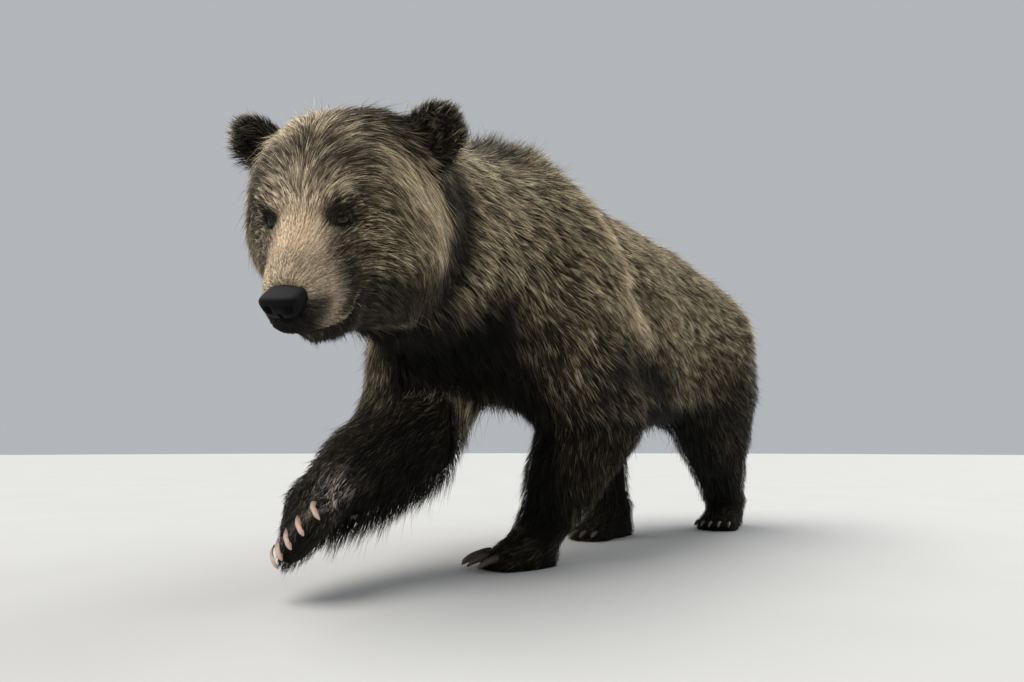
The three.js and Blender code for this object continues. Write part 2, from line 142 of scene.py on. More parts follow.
def read(items, key, wide=1, kind=float):
    """The values that all items of a mesh layer hold under one key, one row for each."""
    values = np.empty(len(items) * wide, np.int32 if kind is int else np.float32)
    items.foreach_get(key, values)
    return values.astype(kind).reshape((-1, wide) if wide > 1 else -1)


def write(items, key, values, kind=np.float32):
    items.foreach_set(key, np.asarray(values).astype(kind).ravel())


def corners_of(mesh):
    return read(mesh.vertices, "co", 3)


def normals_of(mesh):
    return read(mesh.vertex_normals, "vector", 3)


def ear_facing(side):
    points = corners_of(nodes[f"ear_{side}"].data)
    thin = np.linalg.svd(points - points.mean(0), full_matrices=False)[2][2]
    return thin * np.sign(thin @ (ahead + above))


def place_in(name, *shares):
    """A place given as shares of a solid's box: across, along and up."""
    low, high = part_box(name)
    return np.array(low) + np.array(high - low) * shares


def line_in(name, *rows):
    return [place_in(name, *shares) for shares in rows]


ears = {side: (middle(f"ear_{side}"), ear_facing(side)) for side in SIDES}
print("muzzle", (muzzle @ ahead).round(3), "m long, pointing", ahead.round(2))

# %% [markdown]
# ## The skin
# On the animal one skin covers everything from the nose to the toes, so no seam between the solids
# may show. Sewing the solids together edge by edge would keep their facets. Instead, copies of them
# are pushed a hair's breadth into each other, and the lot is remeshed on an even grid, which melts
# them into one closed surface that can be relaxed until the facets are gone.

# %% One closed shell
FLESH = [n for n in sorted(nodes) if "claw" not in n and not n.startswith(("eye", "nose"))]
OVERLAP = 0.0015
GRID = 0.009


def surface_tree(mesh):
    faces = [list(p.vertices) for p in mesh.polygons]
    return BVHTree.FromPolygons(corners_of(mesh).tolist(), faces)


def add_piece(name, mesh):
    """An object that shows a mesh, at the origin, with rounded shading."""
    write(mesh.polygons, "use_smooth", np.ones(len(mesh.polygons)), bool)
    piece = bpy.data.objects.new(name, mesh)
    scene.collection.objects.link(piece)
    return piece


def merged_copy(name, push=0.0):
    """A solid's mesh with its loose triangles joined, grown outwards by push."""
    copy = bmesh.new()
    copy.from_mesh(nodes[name].data)
    bmesh.ops.remove_doubles(copy, verts=copy.verts, dist=1e-5)
    copy.normal_update()
    for v in copy.verts:
        v.co += v.normal * push
    mesh = bpy.data.meshes.new(name + "_copy")
    copy.to_mesh(mesh)
    copy.free()
    return mesh


def remeshed(mesh, grid):
    body = add_piece("shell", mesh)
    even = body.modifiers.new("even", "REMESH")
    even.mode = "VOXEL"
    even.voxel_size = grid
    finished = body.evaluated_get(bpy.context.evaluated_depsgraph_get())
    result = bpy.data.meshes.new_from_object(finished)
    bpy.data.objects.remove(body)
    return result


shell = bmesh.new()
owners = []
for index, name in enumerate(FLESH):
    part = merged_copy(name, OVERLAP)
    shell.from_mesh(part)
    owners += [index] * len(part.polygons)
joined = bpy.data.meshes.new("joined")
shell.to_mesh(joined)
shell.free()
solid_tree = surface_tree(joined)
skin_mesh = remeshed(joined, GRID)
print("shell", len(skin_mesh.vertices), "points")

# %% [markdown]
# ## What the coat is like, part by part
# A bear's coat is long and loose on the back and belly, shorter on the legs, and very short on the
# muzzle. Each row below says how deep the coat is, how long and wide a tuft is, how steeply it
# rises at its root and at its tip in degrees, how close the tufts stand, how dark and how pale they
# are, and how far the skin is relaxed. Every point of the skin takes the row of the solid it came
# from, and the rows are then spread into each other along the surface, so that nothing changes at
# a line.

# %% The coat's table
TRAITS = ("depth", "length", "width", "rise", "lie", "close", "dark", "pale", "relax")
TRAIT_SPREAD = 22
COAT = {
    "trunk": (0.028, 0.047, 0.0020, 40, 18, 1.0, 0.10, 0.52, 0.50),
    "neck": (0.027, 0.048, 0.0020, 38, 16, 1.3, 0.12, 0.62, 0.50),
    "tail": (0.022, 0.050, 0.0023, 38, 20, 1.5, 0.30, 0.30, 0.20),
    "head": (0.016, 0.036, 0.0016, 30, 10, 3.0, 0.10, 0.43, 0.20),
    "ear": (0.010, 0.024, 0.0014, 40, 26, 3.4, 0.44, 0.30, 0.08),
    "upper": (0.025, 0.044, 0.0018, 38, 16, 1.3, 0.18, 0.44, 0.42),
    "lower": (0.020, 0.036, 0.0016, 36, 16, 1.6, 0.60, 0.20, 0.34),
    "paw": (0.010, 0.020, 0.0013, 32, 10, 2.8, 0.84, 0.10, 0.14),
}


def kind_of(name):
    for kind in COAT:
        if kind in name:
            return kind


def averaging(mesh):
    """A function that gives each point the mean of its neighbours' values."""
    a, b = read(mesh.edges, "vertices", 2, int).T
    size = len(mesh.vertices)
    degree = np.bincount(a, minlength=size) + np.bincount(b, minlength=size)

    def average(values):
        flat = values.reshape(size, -1)
        sums = [np.bincount(a, c[b], size) + np.bincount(b, c[a], size) for c in flat.T]
        return (np.stack(sums, 1) / degree[:, None]).reshape(values.shape)

    return average


def spread(values, average, times):
    for _ in range(times):
        values = values * 0.5 + average(values) * 0.5
    return values


def smooth(low, high, x):
    """A smooth step from 0 at low to 1 at high. With low above high it falls instead."""
    t = np.clip((x - low) / (high - low), 0, 1)
    return t * t * (3 - 2 * t)


def move_to(mesh, co):
    write(mesh.vertices, "co", co)
    mesh.update()


co = corners_of(skin_mesh)
average = averaging(skin_mesh)
owner = np.array([owners[solid_tree.find_nearest(p)[2]] for p in co])
rows = np.array([COAT[kind_of(name)] for name in FLESH])
trait = dict(zip(TRAITS, rows[owner].T))
for name in TRAITS[:-1]:
    trait[name] = spread(trait[name], average, TRAIT_SPREAD)
print("traits spread over", len(co), "points")

# %% [markdown]
# ## The lie of the coat
# Hair grows away from the nose, over the head, down the neck and sides, and along each leg towards
# the toes. On the muzzle the lie is the direction away from the nose pad. Behind the eyes the hair
# parts from between the brows and sinks down the cheeks. Elsewhere each part has one direction of
# its own, and spreading the directions over the surface makes them turn gradually.

# %% Directions
BACKWARD = np.array([0.0, 1.0, 0.0])
DOWN = np.array([0.0, 0.0, -1.0])
SWEPT = 0.35
FLOW_SPREAD = 14


def lie_of(name):
    """The direction in which a part's hair lies, from the places of the parts beyond it."""
    kind = kind_of(name)
    leg = name.rsplit("_", 1)[0]
    swept = 0.0 if leg == "front_right" else SWEPT
    if kind == "upper":
        return unit(middle(leg + "_lower") - middle(name)) + BACKWARD * (0.2 + swept)
    if kind == "lower":
        return unit(middle(leg + "_paw") - middle(leg + "_upper")) + BACKWARD * swept
    if kind == "paw":
        return unit(middle(leg + "_claw_3") - middle(name)) + DOWN * 0.3
    if kind == "neck":
        return unit(middle("trunk") - middle("head")) + DOWN * SWEPT
    if kind == "tail":
        return DOWN + BACKWARD * 0.2
    return BACKWARD + DOWN * 0.7


flow = np.array([unit(lie_of(name)) for name in FLESH])[owner]
kinds = np.array([kind_of(name) for name in FLESH])[owner]
on_head = kinds == "head"
from_nose = distance(co, nose_middle)
parting = out_of_face((-0.012, 0.0, 0.028))
beyond_eyes = smooth(0.15, 0.24, from_nose)[:, None]
rearmost = smooth(0.19, 0.34, from_nose)[:, None]
face_lie = unit(co - nose_middle) * (1 - beyond_eyes * 0.75) + unit(co - parting) * beyond_eyes
sideways = across * np.sign(in_face(co)[:, 1:2]) * beyond_eyes * 0.35
cheekward = smooth(0.06, 0.13, np.abs(in_face(co)[:, 1:2])) * beyond_eyes
sinking = DOWN * (0.15 + 0.70 * rearmost + 0.75 * cheekward)
flow[on_head] = unit(face_lie + sideways + sinking)[on_head]
for side in SIDES:
    mine = owner == FLESH.index(f"ear_{side}")
    ear_root = ears[side][0] * 0.55 + middle("head") * 0.45
    flow[mine] = unit(co - ear_root)[mine]

# %% [markdown]
# ## Relaxing, and going in by the coat's depth
# The shell is relaxed more where its solids have big facets and less on ears and paws, which would
# shrink. Then it goes in along its own normals by the depth of the coat, so the tips of the tufts
# come back out to the outline. On the head the coat deepens with the distance from the nose. Under
# the three standing feet the skin stays where it is, on the floor.

# %% Relax and inset
STANDING = ("front_left", "hind_left", "hind_right")
RELAX_TIMES = 40
SETTLE_TIMES = 8
SOLE_REACH = 0.05
SOLE_HEIGHT = 0.012
rested = co.copy()
for _ in range(RELAX_TIMES):
    rested += (average(rested) - rested) * trait["relax"][:, None]
move_to(skin_mesh, rested)

from_nose = distance(rested, nose_middle)
is_face = spread((kinds == "head").astype(float), average, 6)
HEAD_STEPS = (0.05, 0.12, 0.18, 0.26, 0.38)
HEAD_COAT = {
    "depth": (0.003, 0.004, 0.006, 0.011, 0.018),
    "length": (0.009, 0.013, 0.028, 0.043, 0.048),
    "width": (0.0011, 0.0012, 0.0013, 0.0015, 0.0020),
    "rise": (20, 21, 22, 24, 32),
    "lie": (6, 6, 6, 7, 12),
    "close": (8, 6, 4, 3, 2),
}
for name, steps in HEAD_COAT.items():
    trait[name] += (np.interp(from_nose, HEAD_STEPS, steps) - trait[name]) * is_face

grounded = np.isin(owner, [FLESH.index(leg + "_paw") for leg in STANDING])
lift = np.where(grounded, smooth(0.0, SOLE_REACH, rested[:, 2]), 1.0)
skin = rested - normals_of(skin_mesh) * (trait["depth"] * lift)[:, None]
for _ in range(SETTLE_TIMES):
    skin += (average(skin) - skin) * 0.25 * lift[:, None]
skin[grounded & (co[:, 2] < SOLE_HEIGHT), 2] = 0.0
skin[:, 2] = np.maximum(skin[:, 2], 0.0)
move_to(skin_mesh, skin)
normals = normals_of(skin_mesh)
flow = spread(flow, average, FLOW_SPREAD)
flow = along_surface(flow, normals)
print("skin box", skin.min(0).round(3), skin.max(0).round(3))

# %% [markdown]
# ## Flattening the skin's map
# Every tuft takes its place on a flat map from the skin under it. The map is cut and flattened by
# the skin's own shape, on the even shell before the face is refined, because fewer faces unwrap
# faster and the finer faces inherit their places.

# %% Carried values and the map
def put_value(mesh, name, values):
    kind, key = ("FLOAT", "value") if values.ndim == 1 else ("FLOAT_VECTOR", "vector")
    layer = mesh.attributes.get(name) or mesh.attributes.new(name, kind, "POINT")
    write(layer.data, key, values)


def get_value(mesh, name):
    layer = mesh.attributes[name]
    if layer.data_type == "FLOAT_VECTOR":
        return read(layer.data, "vector", 3)
    return read(layer.data, "value")


CARRIED = ("length", "width", "rise", "lie", "close", "dark", "pale")
for name in CARRIED:
    put_value(skin_mesh, name, trait[name])
put_value(skin_mesh, "flow", flow)
put_value(skin_mesh, "owner", owner.astype(float))

bear_skin = add_piece("skin", skin_mesh)
bpy.context.view_layer.objects.active = bear_skin
bear_skin.select_set(True)
skin_mesh.uv_layers.new(name="OFBake")
bpy.ops.object.mode_set(mode="EDIT")
bpy.ops.mesh.select_all(action="SELECT")
bpy.ops.uv.smart_project(angle_limit=math.radians(75), island_margin=0.002)
bpy.ops.object.mode_set(mode="OBJECT")
print("map laid out for", len(skin_mesh.polygons), "faces")

# %% [markdown]
# ## A finer face
# Lids and lips need points a millimetre or two apart, while the back does well with nine. So only
# the head is divided, once all over and once or twice more near the eyes and muzzle, and relaxed a
# little each time so that the new points lie on a smooth curve.

# %% Refining
FINE_MUZZLE = 0.17
FINE_EYES = 0.05
FINEST_EYES = 0.026


def refine(mesh, chosen, relax=2):
    """Divide the edges among chosen points once, and let the new points settle."""
    fine = bmesh.new()
    fine.from_mesh(mesh)
    fine.verts.ensure_lookup_table()
    edges = [e for e in fine.edges if chosen[e.verts[0].index] and chosen[e.verts[1].index]]
    made = bmesh.ops.subdivide_edges(fine, edges=edges, cuts=1, use_grid_fill=True)
    touched = {v for g in made["geom"] if isinstance(g, bmesh.types.BMFace) for v in g.verts}
    for _ in range(relax):
        bmesh.ops.smooth_vert(fine, verts=list(touched), factor=0.5,
                              use_axis_x=True, use_axis_y=True, use_axis_z=True)
    bmesh.ops.triangulate(fine, faces=[f for f in fine.faces if len(f.verts) > 4])
    fine.to_mesh(mesh)
    fine.free()
    mesh.update()


head_nodes = [FLESH.index(n) for n in FLESH if kind_of(n) in ("head", "ear")]
eye_places = {side: middle(f"eye_{side}") for side in SIDES}


def near_eyes(points, reach):
    return np.min([distance(points, place) for place in eye_places.values()], axis=0) < reach


refine(skin_mesh, np.isin(owner, head_nodes))
skin = corners_of(skin_mesh)
near_nose = distance(skin, nose_middle) < FINE_MUZZLE
refine(skin_mesh, near_nose | near_eyes(skin, FINE_EYES))
refine(skin_mesh, near_eyes(corners_of(skin_mesh), FINEST_EYES), relax=1)
print("skin", len(skin_mesh.vertices), "points,", len(skin_mesh.polygons), "faces")

# %% [markdown]
# ## Eyes and lids
# A grizzly's eyes are small and dark, set well into the head. Each eyeball is a sphere with a
# slightly domed front, and it is placed so that only a few millimetres of it stand out of the skin.
# The skin round it is drawn onto the ball, and a ring of bare dark skin makes the rim of the lids.
# The ring begins as a spun torus and is wrapped onto the ball along an almond shape.

# %% Eyeballs
EYE_RADIUS = 0.0120
EYE_OUT = 0.0012
CORNEA_HEIGHT = 0.07
CORNEA_ANGLE = 0.75
ALMOND = (0.0102, 0.0068)
LID = 0.0014

skin_tree = surface_tree(skin_mesh)


def eye_frame(side):
    """Centre and axes (out along the gaze, towards the outer corner, up) of an eyeball."""
    place, normal, _, _ = skin_tree.find_nearest(Vector(eye_places[side]))
    gaze = unit(np.array(normal) * 0.75 + above * 0.35 + ahead * 0.10)
    outer = across * SIDES[side] - ahead * 0.22
    outer = unit(outer - gaze * (outer @ gaze))
    up = np.cross(gaze, outer) * SIDES[side]
    if up @ ahead > 0:
        up = -up
    centre = np.array(place) - gaze * (EYE_RADIUS - EYE_OUT)
    return centre, np.array([gaze, outer, up])


def finish_mesh(name, bm):
    mesh = bpy.data.meshes.new(name)
    bmesh.ops.recalc_face_normals(bm, faces=bm.faces)
    bm.to_mesh(mesh)
    bm.free()
    return add_piece(name, mesh)


def almond_reach(turn):
    """How far the opening of the lids reaches from its middle, at each angle round it."""
    return 1 / np.sqrt((np.cos(turn) / ALMOND[0]) ** 2 + (np.sin(turn) / ALMOND[1]) ** 2)


def make_eyeball(side, centre, axes):
    ball = bmesh.new()
    bmesh.ops.create_uvsphere(ball, u_segments=40, v_segments=28, radius=EYE_RADIUS)
    for v in ball.verts:
        off = math.acos(max(-1, min(1, v.co.z / EYE_RADIUS)))
        v.co *= 1 + CORNEA_HEIGHT * max(0, 1 - (off / CORNEA_ANGLE) ** 2)
        x, y, z = v.co
        v.co = Vector(centre + z * axes[0] + x * axes[1] + y * axes[2])
    piece = finish_mesh(f"eyeball_{side}", ball)
    local = (corners_of(piece.data) - centre) @ axes.T
    put_value(piece.data, "off_gaze", np.arccos(np.clip(unit(local)[:, 0], -1, 1)))
    put_value(piece.data, "turn", np.arctan2(local[:, 2], local[:, 1]))
    return piece


def make_lids(side, centre, axes):
    ring = bmesh.new()
    profile = bmesh.ops.create_circle(ring, segments=8, radius=0.4)["verts"]
    upright = Matrix.Rotation(math.pi / 2, 3, "X")
    bmesh.ops.rotate(ring, verts=profile, cent=(0, 0, 0), matrix=upright)
    bmesh.ops.translate(ring, verts=profile, vec=(1, 0, 0))
    bmesh.ops.spin(ring, geom=ring.verts[:] + ring.edges[:], cent=(0, 0, 0), axis=(0, 0, 1),
                   angle=2 * math.pi, steps=48, use_merge=True, use_duplicate=False)
    for v in ring.verts:
        turn = math.atan2(v.co.y, v.co.x)
        outward = math.hypot(v.co.x, v.co.y) - 0.6
        reach = float(almond_reach(turn)) / EYE_RADIUS
        off = math.asin(min(0.98, reach)) + outward * 0.42
        height = EYE_RADIUS + LID * (0.9 + v.co.z * 2.2) - 0.004 * max(0, outward - 0.35)
        way = math.cos(off) * axes[0] + math.sin(off) * (
            math.cos(turn) * axes[1] + math.sin(turn) * axes[2]
        )
        v.co = Vector(centre + way * height)
    return finish_mesh(f"eyelids_{side}", ring)


eyes = {side: eye_frame(side) for side in SIDES}
eyeballs = {side: make_eyeball(side, *eyes[side]) for side in SIDES}
eyelids = {side: make_lids(side, *eyes[side]) for side in SIDES}
print("eyes", {side: eyes[side][0].round(3).tolist() for side in SIDES})

# %% [markdown]
# ## Features in the skin
# With the points close enough, simple rules move them. Round each eye they are drawn onto the ball,
# and inside the opening they go behind it. Then the brow rises over the eye and the cheek below it.

# %% Eye openings and brows
EYE_REACH = 0.040
BEHIND_BALL = 0.0025
FORM_DEPTH = 0.06
# Each form near an eye: outwards and up from its middle, its reach, and how far it stands out.
BROW_FORMS = (
    (0.004, 0.027, 0.017, 0.012),
    (-0.016, 0.020, 0.012, 0.004),
    (0.012, -0.026, 0.018, 0.003),
)
skin = corners_of(skin_mesh)
normals = normals_of(skin_mesh)
for side in SIDES:
    centre, axes = eyes[side]
    local = (skin - centre) @ axes.T
    reach = np.hypot(local[:, 1], local[:, 2]) / almond_reach(np.arctan2(local[:, 2], local[:, 1]))
    close = (distance(skin, centre) < EYE_REACH) & (local[:, 0] > -0.004)
    hug = smooth(3.0, 1.5, reach) * close
    radius = np.where(reach < 1.25, EYE_RADIUS - BEHIND_BALL, EYE_RADIUS + LID * 0.8)
    skin += (centre + unit(skin - centre) * radius[:, None] - skin) * hug[:, None]

for side in SIDES:
    centre, axes = eyes[side]
    local = (skin - centre) @ axes.T
    for outer, up, reach, height in BROW_FORMS:
        near = np.exp(-((local[:, 1] - outer) ** 2 + (local[:, 2] - up) ** 2) / reach**2)
        skin += axes[0] * (near * height * (np.abs(local[:, 0]) < FORM_DEPTH))[:, None]
print("brows raised", len(BROW_FORMS) * len(SIDES), "forms")

# %% [markdown]
# Along the mouth the skin sinks into a crease. The upper lip swells a little above it, and the
# chin goes in below it. The line of the lips is given by its height at a few places along the jaw.

# %% Mouth
MOUTH_ALONG = (0.015, 0.030, 0.045, 0.075, 0.110)
MOUTH_HEIGHT = (-0.112, -0.128, -0.152, -0.152, -0.140)
LIP_HEIGHT = 0.003


def about_mouth(points):
    """Where points lie along the jaw, how high, and how far above the line of the lips."""
    along, _, height = jaw_axes @ (points - brow).T
    return along, height, height - np.interp(along, MOUTH_ALONG, MOUTH_HEIGHT)


along_jaw, _, lip_line = about_mouth(skin)
crease = np.exp(-((lip_line / 0.0035) ** 2)) * smooth(0.045, 0.075, along_jaw)
upper_lip = np.exp(-(((lip_line - 0.012) / 0.010) ** 2)) * smooth(0.02, 0.05, along_jaw)
on_jaw = (distance(skin, nose_middle) < 0.15) & (lip_line < 0.05)
recess = smooth(0.004, -0.006, lip_line) * smooth(0.055, 0.095, along_jaw)
skin += normals * ((upper_lip - crease - recess) * LIP_HEIGHT * on_jaw)[:, None]
print("mouth", round(float(np.ptp(along_jaw[crease > 0.5])), 3), "m long")

# %% [markdown]
# A few forms show through the coat: the crown of the skull, and the edge of the shoulder blade and
# upper arm with a hollow behind it.

# %% Forms under the coat
CROWN = out_of_face((-0.212, 0.085, -0.012))
BLADE = line_in("trunk", (0.90, 0.27, 0.73), (0.93, 0.30, 0.66), (0.95, 0.32, 0.56),
                (0.96, 0.33, 0.45), (0.94, 0.38, 0.36), (0.92, 0.43, 0.29))
BEHIND_BLADE = [place + BACKWARD * 0.070 for place in BLADE]
BLADE_REACH = 0.032
CROWN_REACH = 0.045
FORM_HEIGHT = 0.012
HOLLOW_DEPTH = 0.014
FULL_COAT = COAT["trunk"][0]


def near_place(points, place, reach):
    """1 at a place, falling smoothly to 0 beyond its reach."""
    return np.exp(-(((points - place) / reach) ** 2).sum(1))


def near_line(points, places, reach):
    """1 on a line through a row of places, falling smoothly to 0 beyond its reach."""
    nearest = np.full(len(points), np.inf)
    for a, b in zip(places[:-1], places[1:]):
        t = np.clip((points - a) @ (b - a) / ((b - a) @ (b - a)), 0, 1)
        nearest = np.minimum(nearest, np.linalg.norm(points - a - t[:, None] * (b - a), axis=1))
    return np.exp(-((nearest / reach) ** 2))


outer = skin + normals * FULL_COAT
form = near_place(skin, CROWN, CROWN_REACH) * FORM_HEIGHT
form += near_line(outer, BLADE, BLADE_REACH) * FORM_HEIGHT
form -= near_line(outer, BEHIND_BLADE, BLADE_REACH) * HOLLOW_DEPTH
skin += normals * form[:, None]
print("forms from", form.min().round(3), "to", form.max().round(3), "m")

# %% [markdown]
# Each toe swells round the root of its claw, and the lifted paw has pads under its toes. The front
# of each ear is hollowed into a bowl, which keeps its rim.

# %% Toes, pads and ears
TOE_REACH = 0.020
TOE_HEIGHT = 0.007
TOE_INSET = 0.012
PAD_REACH = 0.015
PAD_HEIGHT = 0.009
PAD_DROP = 0.026
PALM = unit(np.array([0.62, 0.33, -0.70]))
toe_roots = []
for name in sorted(nodes):
    if "claw" in name:
        paw = middle(name.rsplit("_claw", 1)[0] + "_paw")
        horn = corners_of(nodes[name].data)
        root = horn[np.argsort(distance(horn, paw))[:12]].mean(0)
        toe = root + unit(paw - root) * TOE_INSET
        skin += unit(skin - toe) * (TOE_HEIGHT * near_place(skin, toe, TOE_REACH))[:, None]
        if name.startswith("front_right"):
            toe_roots.append(root)
            pad = root + PALM * PAD_DROP
            skin += PALM * (PAD_HEIGHT * near_place(skin, pad, PAD_REACH))[:, None]
skin[:, 2] = np.maximum(skin[:, 2], 0.0)

EAR_HOLLOW = 0.020
EAR_BOWL = 0.040
hollow = np.zeros(len(skin))
for side, (ear_middle, facing) in ears.items():
    local = skin - ear_middle
    front = local @ facing
    rim = np.linalg.norm(local - front[:, None] * facing, axis=1)
    mine = (normals @ facing > 0.1) & (rim < EAR_BOWL) & (np.abs(front) < FORM_DEPTH)
    bowl = np.clip(1 - (rim / EAR_BOWL) ** 2, 0, 1) * mine
    hollow = np.maximum(hollow, bowl)
    skin -= facing * (EAR_HOLLOW * bowl)[:, None]
move_to(skin_mesh, skin)
print("ears hollowed at", int((hollow > 0).sum()), "points")

# %% [markdown]
# ## Markings and painted shade
# A grizzly is brown with pale tips on the back and shoulders and nearly black on the legs. Its ears
# are dark, its muzzle tan, and a pale ruff runs round the cheeks. A dark mane stands on the hump,
# the lifted wrist is silvered, and loose fringes hang at the elbow, the flank and the lifted
# foreleg. Shade is painted into the coat as well: in the eye sockets, on the lower cheeks, in the
# armpits, under the throat, behind the left foreleg, from the elbow to the groin and in the hollow
# behind the shoulder blade, and in part under the chest and belly and on the inner legs. Each
# marking and each patch of painted shade is a mask on the points of the skin. The tufts take
# theirs from the skin under their roots, so skin and coat always agree.

# %% Masks by part
LIP_REACH = (0.055, 0.050, 0.036)
BELOW_NOSE = 0.034
SOCKET_SHADE_REACH = {"left": 0.030, "right": 0.024}
BRIDGE_ALONG = (0.03, 0.06, 0.10, 0.14, 0.18, 0.23, 0.27)
BRIDGE_TAN = (0.25, 0.55, 0.95, 0.95, 0.42, 0.16, 0.0)
IN_COAT = 0.025
# Painted shadow from the left elbow along the flank to the groin.
SHADE_ELBOW_TO_GROIN = line_in("trunk", (0.948, 0.360, 0.200), (0.890, 0.465, 0.195),
                         (0.810, 0.545, 0.150))
# Painted shadow down the back of the left foreleg.
LEG_BACK_SHADE = line_in("front_left_upper", (0.977, 0.540, 0.500), (0.953, 0.500, 0.231),
                   (0.911, 0.500, -0.123))
ELBOW_RIM = line_in("front_left_upper", (0.982, 0.497, 0.500), (0.927, 0.510, 0.248),
                    (0.864, 0.531, 0.035))
CHEST_FACING = unit(np.array([0.0, -0.65, -0.75]))
ARMPITS = [middle(f"front_{side}_upper") * (0.35, 0, 0) + (0.04, -0.52, 0.565) for side in SIDES]


def part_mask(times, *names):
    """1 on the skin that came from the named solids, spread a little over its border."""
    mine = np.isin(owner, [FLESH.index(name) for name in names])
    return spread(mine.astype(float), average, times)


def patch(name, shares, reach):
    return near_place(skin, place_in(name, *shares), reach)


def about_eye(side):
    """How far points lie outwards and up from the middle of an eye."""
    centre, axes = eyes[side]
    return axes[1:] @ (skin - centre).T


skin = corners_of(skin_mesh)
normals = normals_of(skin_mesh)
average = averaging(skin_mesh)
outer = skin + normals * FULL_COAT
in_coat = skin + normals * IN_COAT
owner = np.rint(get_value(skin_mesh, "owner")).astype(int)
is_head = part_mask(8, "head")
off_head = 1 - is_head
ear_flat = part_mask(0, "ear_left", "ear_right")
head_part = part_mask(0, "head", "ear_left", "ear_right")
legs_part = 1 - np.clip(part_mask(10, "trunk") + head_part + part_mask(10, "neck"), 0, 1)
print("head", is_head.mean().round(2), "legs", legs_part.mean().round(2), "of the points")

# %% [markdown]
# The masks of the face are bands between two distances: from the nose, from the middle of the head,
# along the jaw, or above the line of the lips.

# %% Masks of the face
from_nose = distance(skin, nose_middle)
from_head = distance(skin, middle("head"))
_, off_middle, up_face = in_face(skin).T
off_middle = np.abs(off_middle)
along_jaw, height, lip_line = about_mouth(skin)
bridge = smooth(0.068, 0.024, off_middle) * np.interp(from_nose, BRIDGE_ALONG, BRIDGE_TAN)
bridge *= smooth(-0.05, -0.005, up_face)
muzzle_side = 0.92 * smooth(0.118, 0.074, from_nose) * smooth(-0.085, -0.045, up_face)
muzzle_side *= 1 - 0.34 * smooth(-0.030, 0.0, up_face)
tan = is_head * np.maximum(bridge, muzzle_side)
jaw = is_head * smooth(0.001, -0.006, lip_line) * smooth(0.005, 0.050, along_jaw)
below_nose = (skin - nose_middle) @ jaw_axes.T + (0.0, 0.0, BELOW_NOSE)
lip = smooth(1.05, 0.62, np.linalg.norm(below_nose / LIP_REACH, axis=1))
lip_edge = np.exp(-((lip_line / 0.005) ** 2)) * smooth(0.05, 0.08, along_jaw)
lip = is_head * np.maximum(lip, lip_edge)
under_nose = lip * smooth(0.026, 0.012, np.abs(below_nose[:, 1]))
under_nose *= smooth(-0.010, 0.006, below_nose[:, 2])
nose_side = is_head * smooth(0.092, 0.044, from_nose)
nose_side *= smooth(0.014, -0.010, below_nose[:, 2] - BELOW_NOSE)
lip_fringe = np.exp(-(((lip_line - 0.010) / 0.006) ** 2)) * is_head
lip_fringe *= smooth(0.015, 0.035, along_jaw) * smooth(0.085, 0.065, along_jaw)
# Painted shade in the eye sockets under the brows, reaching further round the left eye.
socket = np.zeros(len(skin))
for side, reach in SOCKET_SHADE_REACH.items():
    outward, up = about_eye(side)
    spot = np.hypot((outward + 0.006) * 0.80, up - 0.002)
    socket = np.maximum(socket, smooth(reach, 0.010, spot))
outward, up = about_eye("left")
brow_light = is_head * np.exp(-(((outward + 0.012) / 0.032) ** 2) - ((up - 0.040) / 0.016) ** 2)
right_brow = near_place(skin, out_of_face((-0.045, -0.055, 0.035)), 0.050)
ruff = smooth(0.22, 0.31, from_nose) * smooth(0.196, 0.180, from_head) * (1 - ear_flat)
ruff *= smooth(-0.16, -0.09, height)
# Painted shade on the lower cheeks behind the muzzle.
cheek_shade = is_head * smooth(-0.066, -0.130, height) * (1 - jaw) * smooth(0.095, 0.135, from_nose)
neck_band = smooth(0.180, 0.196, from_head) * smooth(0.27, 0.225, from_head)
neck_band *= smooth(0.02, 0.10, off_middle) * (1 - 0.8 * is_head * smooth(-0.02, 0.04, height))
crown = is_head * smooth(0.17, 0.27, from_nose) * smooth(-0.03, 0.03, height) * (1 - ruff)
crown *= 1 - 0.65 * near_place(skin, out_of_face((-0.055, 0.095, 0.005)), 0.045)
# The throat is made less dark and a little tan: partly its own pale hair, partly painted light.
throat = patch("head", (0.52, 0.86, 0.15), 0.055)
print("tan", tan.mean().round(3), "ruff", ruff.mean().round(3))

# %% [markdown]
# The body darkens downwards. Under the chest and the belly and on the inner legs the dark is partly
# the coat's own colour and partly painted shade, and in the armpits, under the throat and from the
# elbow to the groin it is painted shade. Silver, mane and fringes are patches round a place, or run
# along a line.

# %% Masks of the body
hind = skin[:, 1] > middle("trunk")[1]
low_down = smooth(np.where(hind, 0.66, 0.57), np.where(hind, 0.42, 0.32), skin[:, 2])
# Under the chest and the belly and on the inner legs the coat darkens where the surface faces down
# or inwards: partly its own dark colour, partly painted shade.
between = smooth(0.175, 0.095, np.abs(skin[:, 0] - 0.02))
chest = smooth(-0.10, 0.55, normals @ CHEST_FACING) * between * off_head
chest *= smooth(0.72, 0.58, skin[:, 2])
belly = smooth(0.45, 0.90, -normals[:, 2]) * off_head
inner = smooth(0.1, 0.7, np.abs(normals[:, 0])) * (normals[:, 0] * skin[:, 0] < 0) * low_down
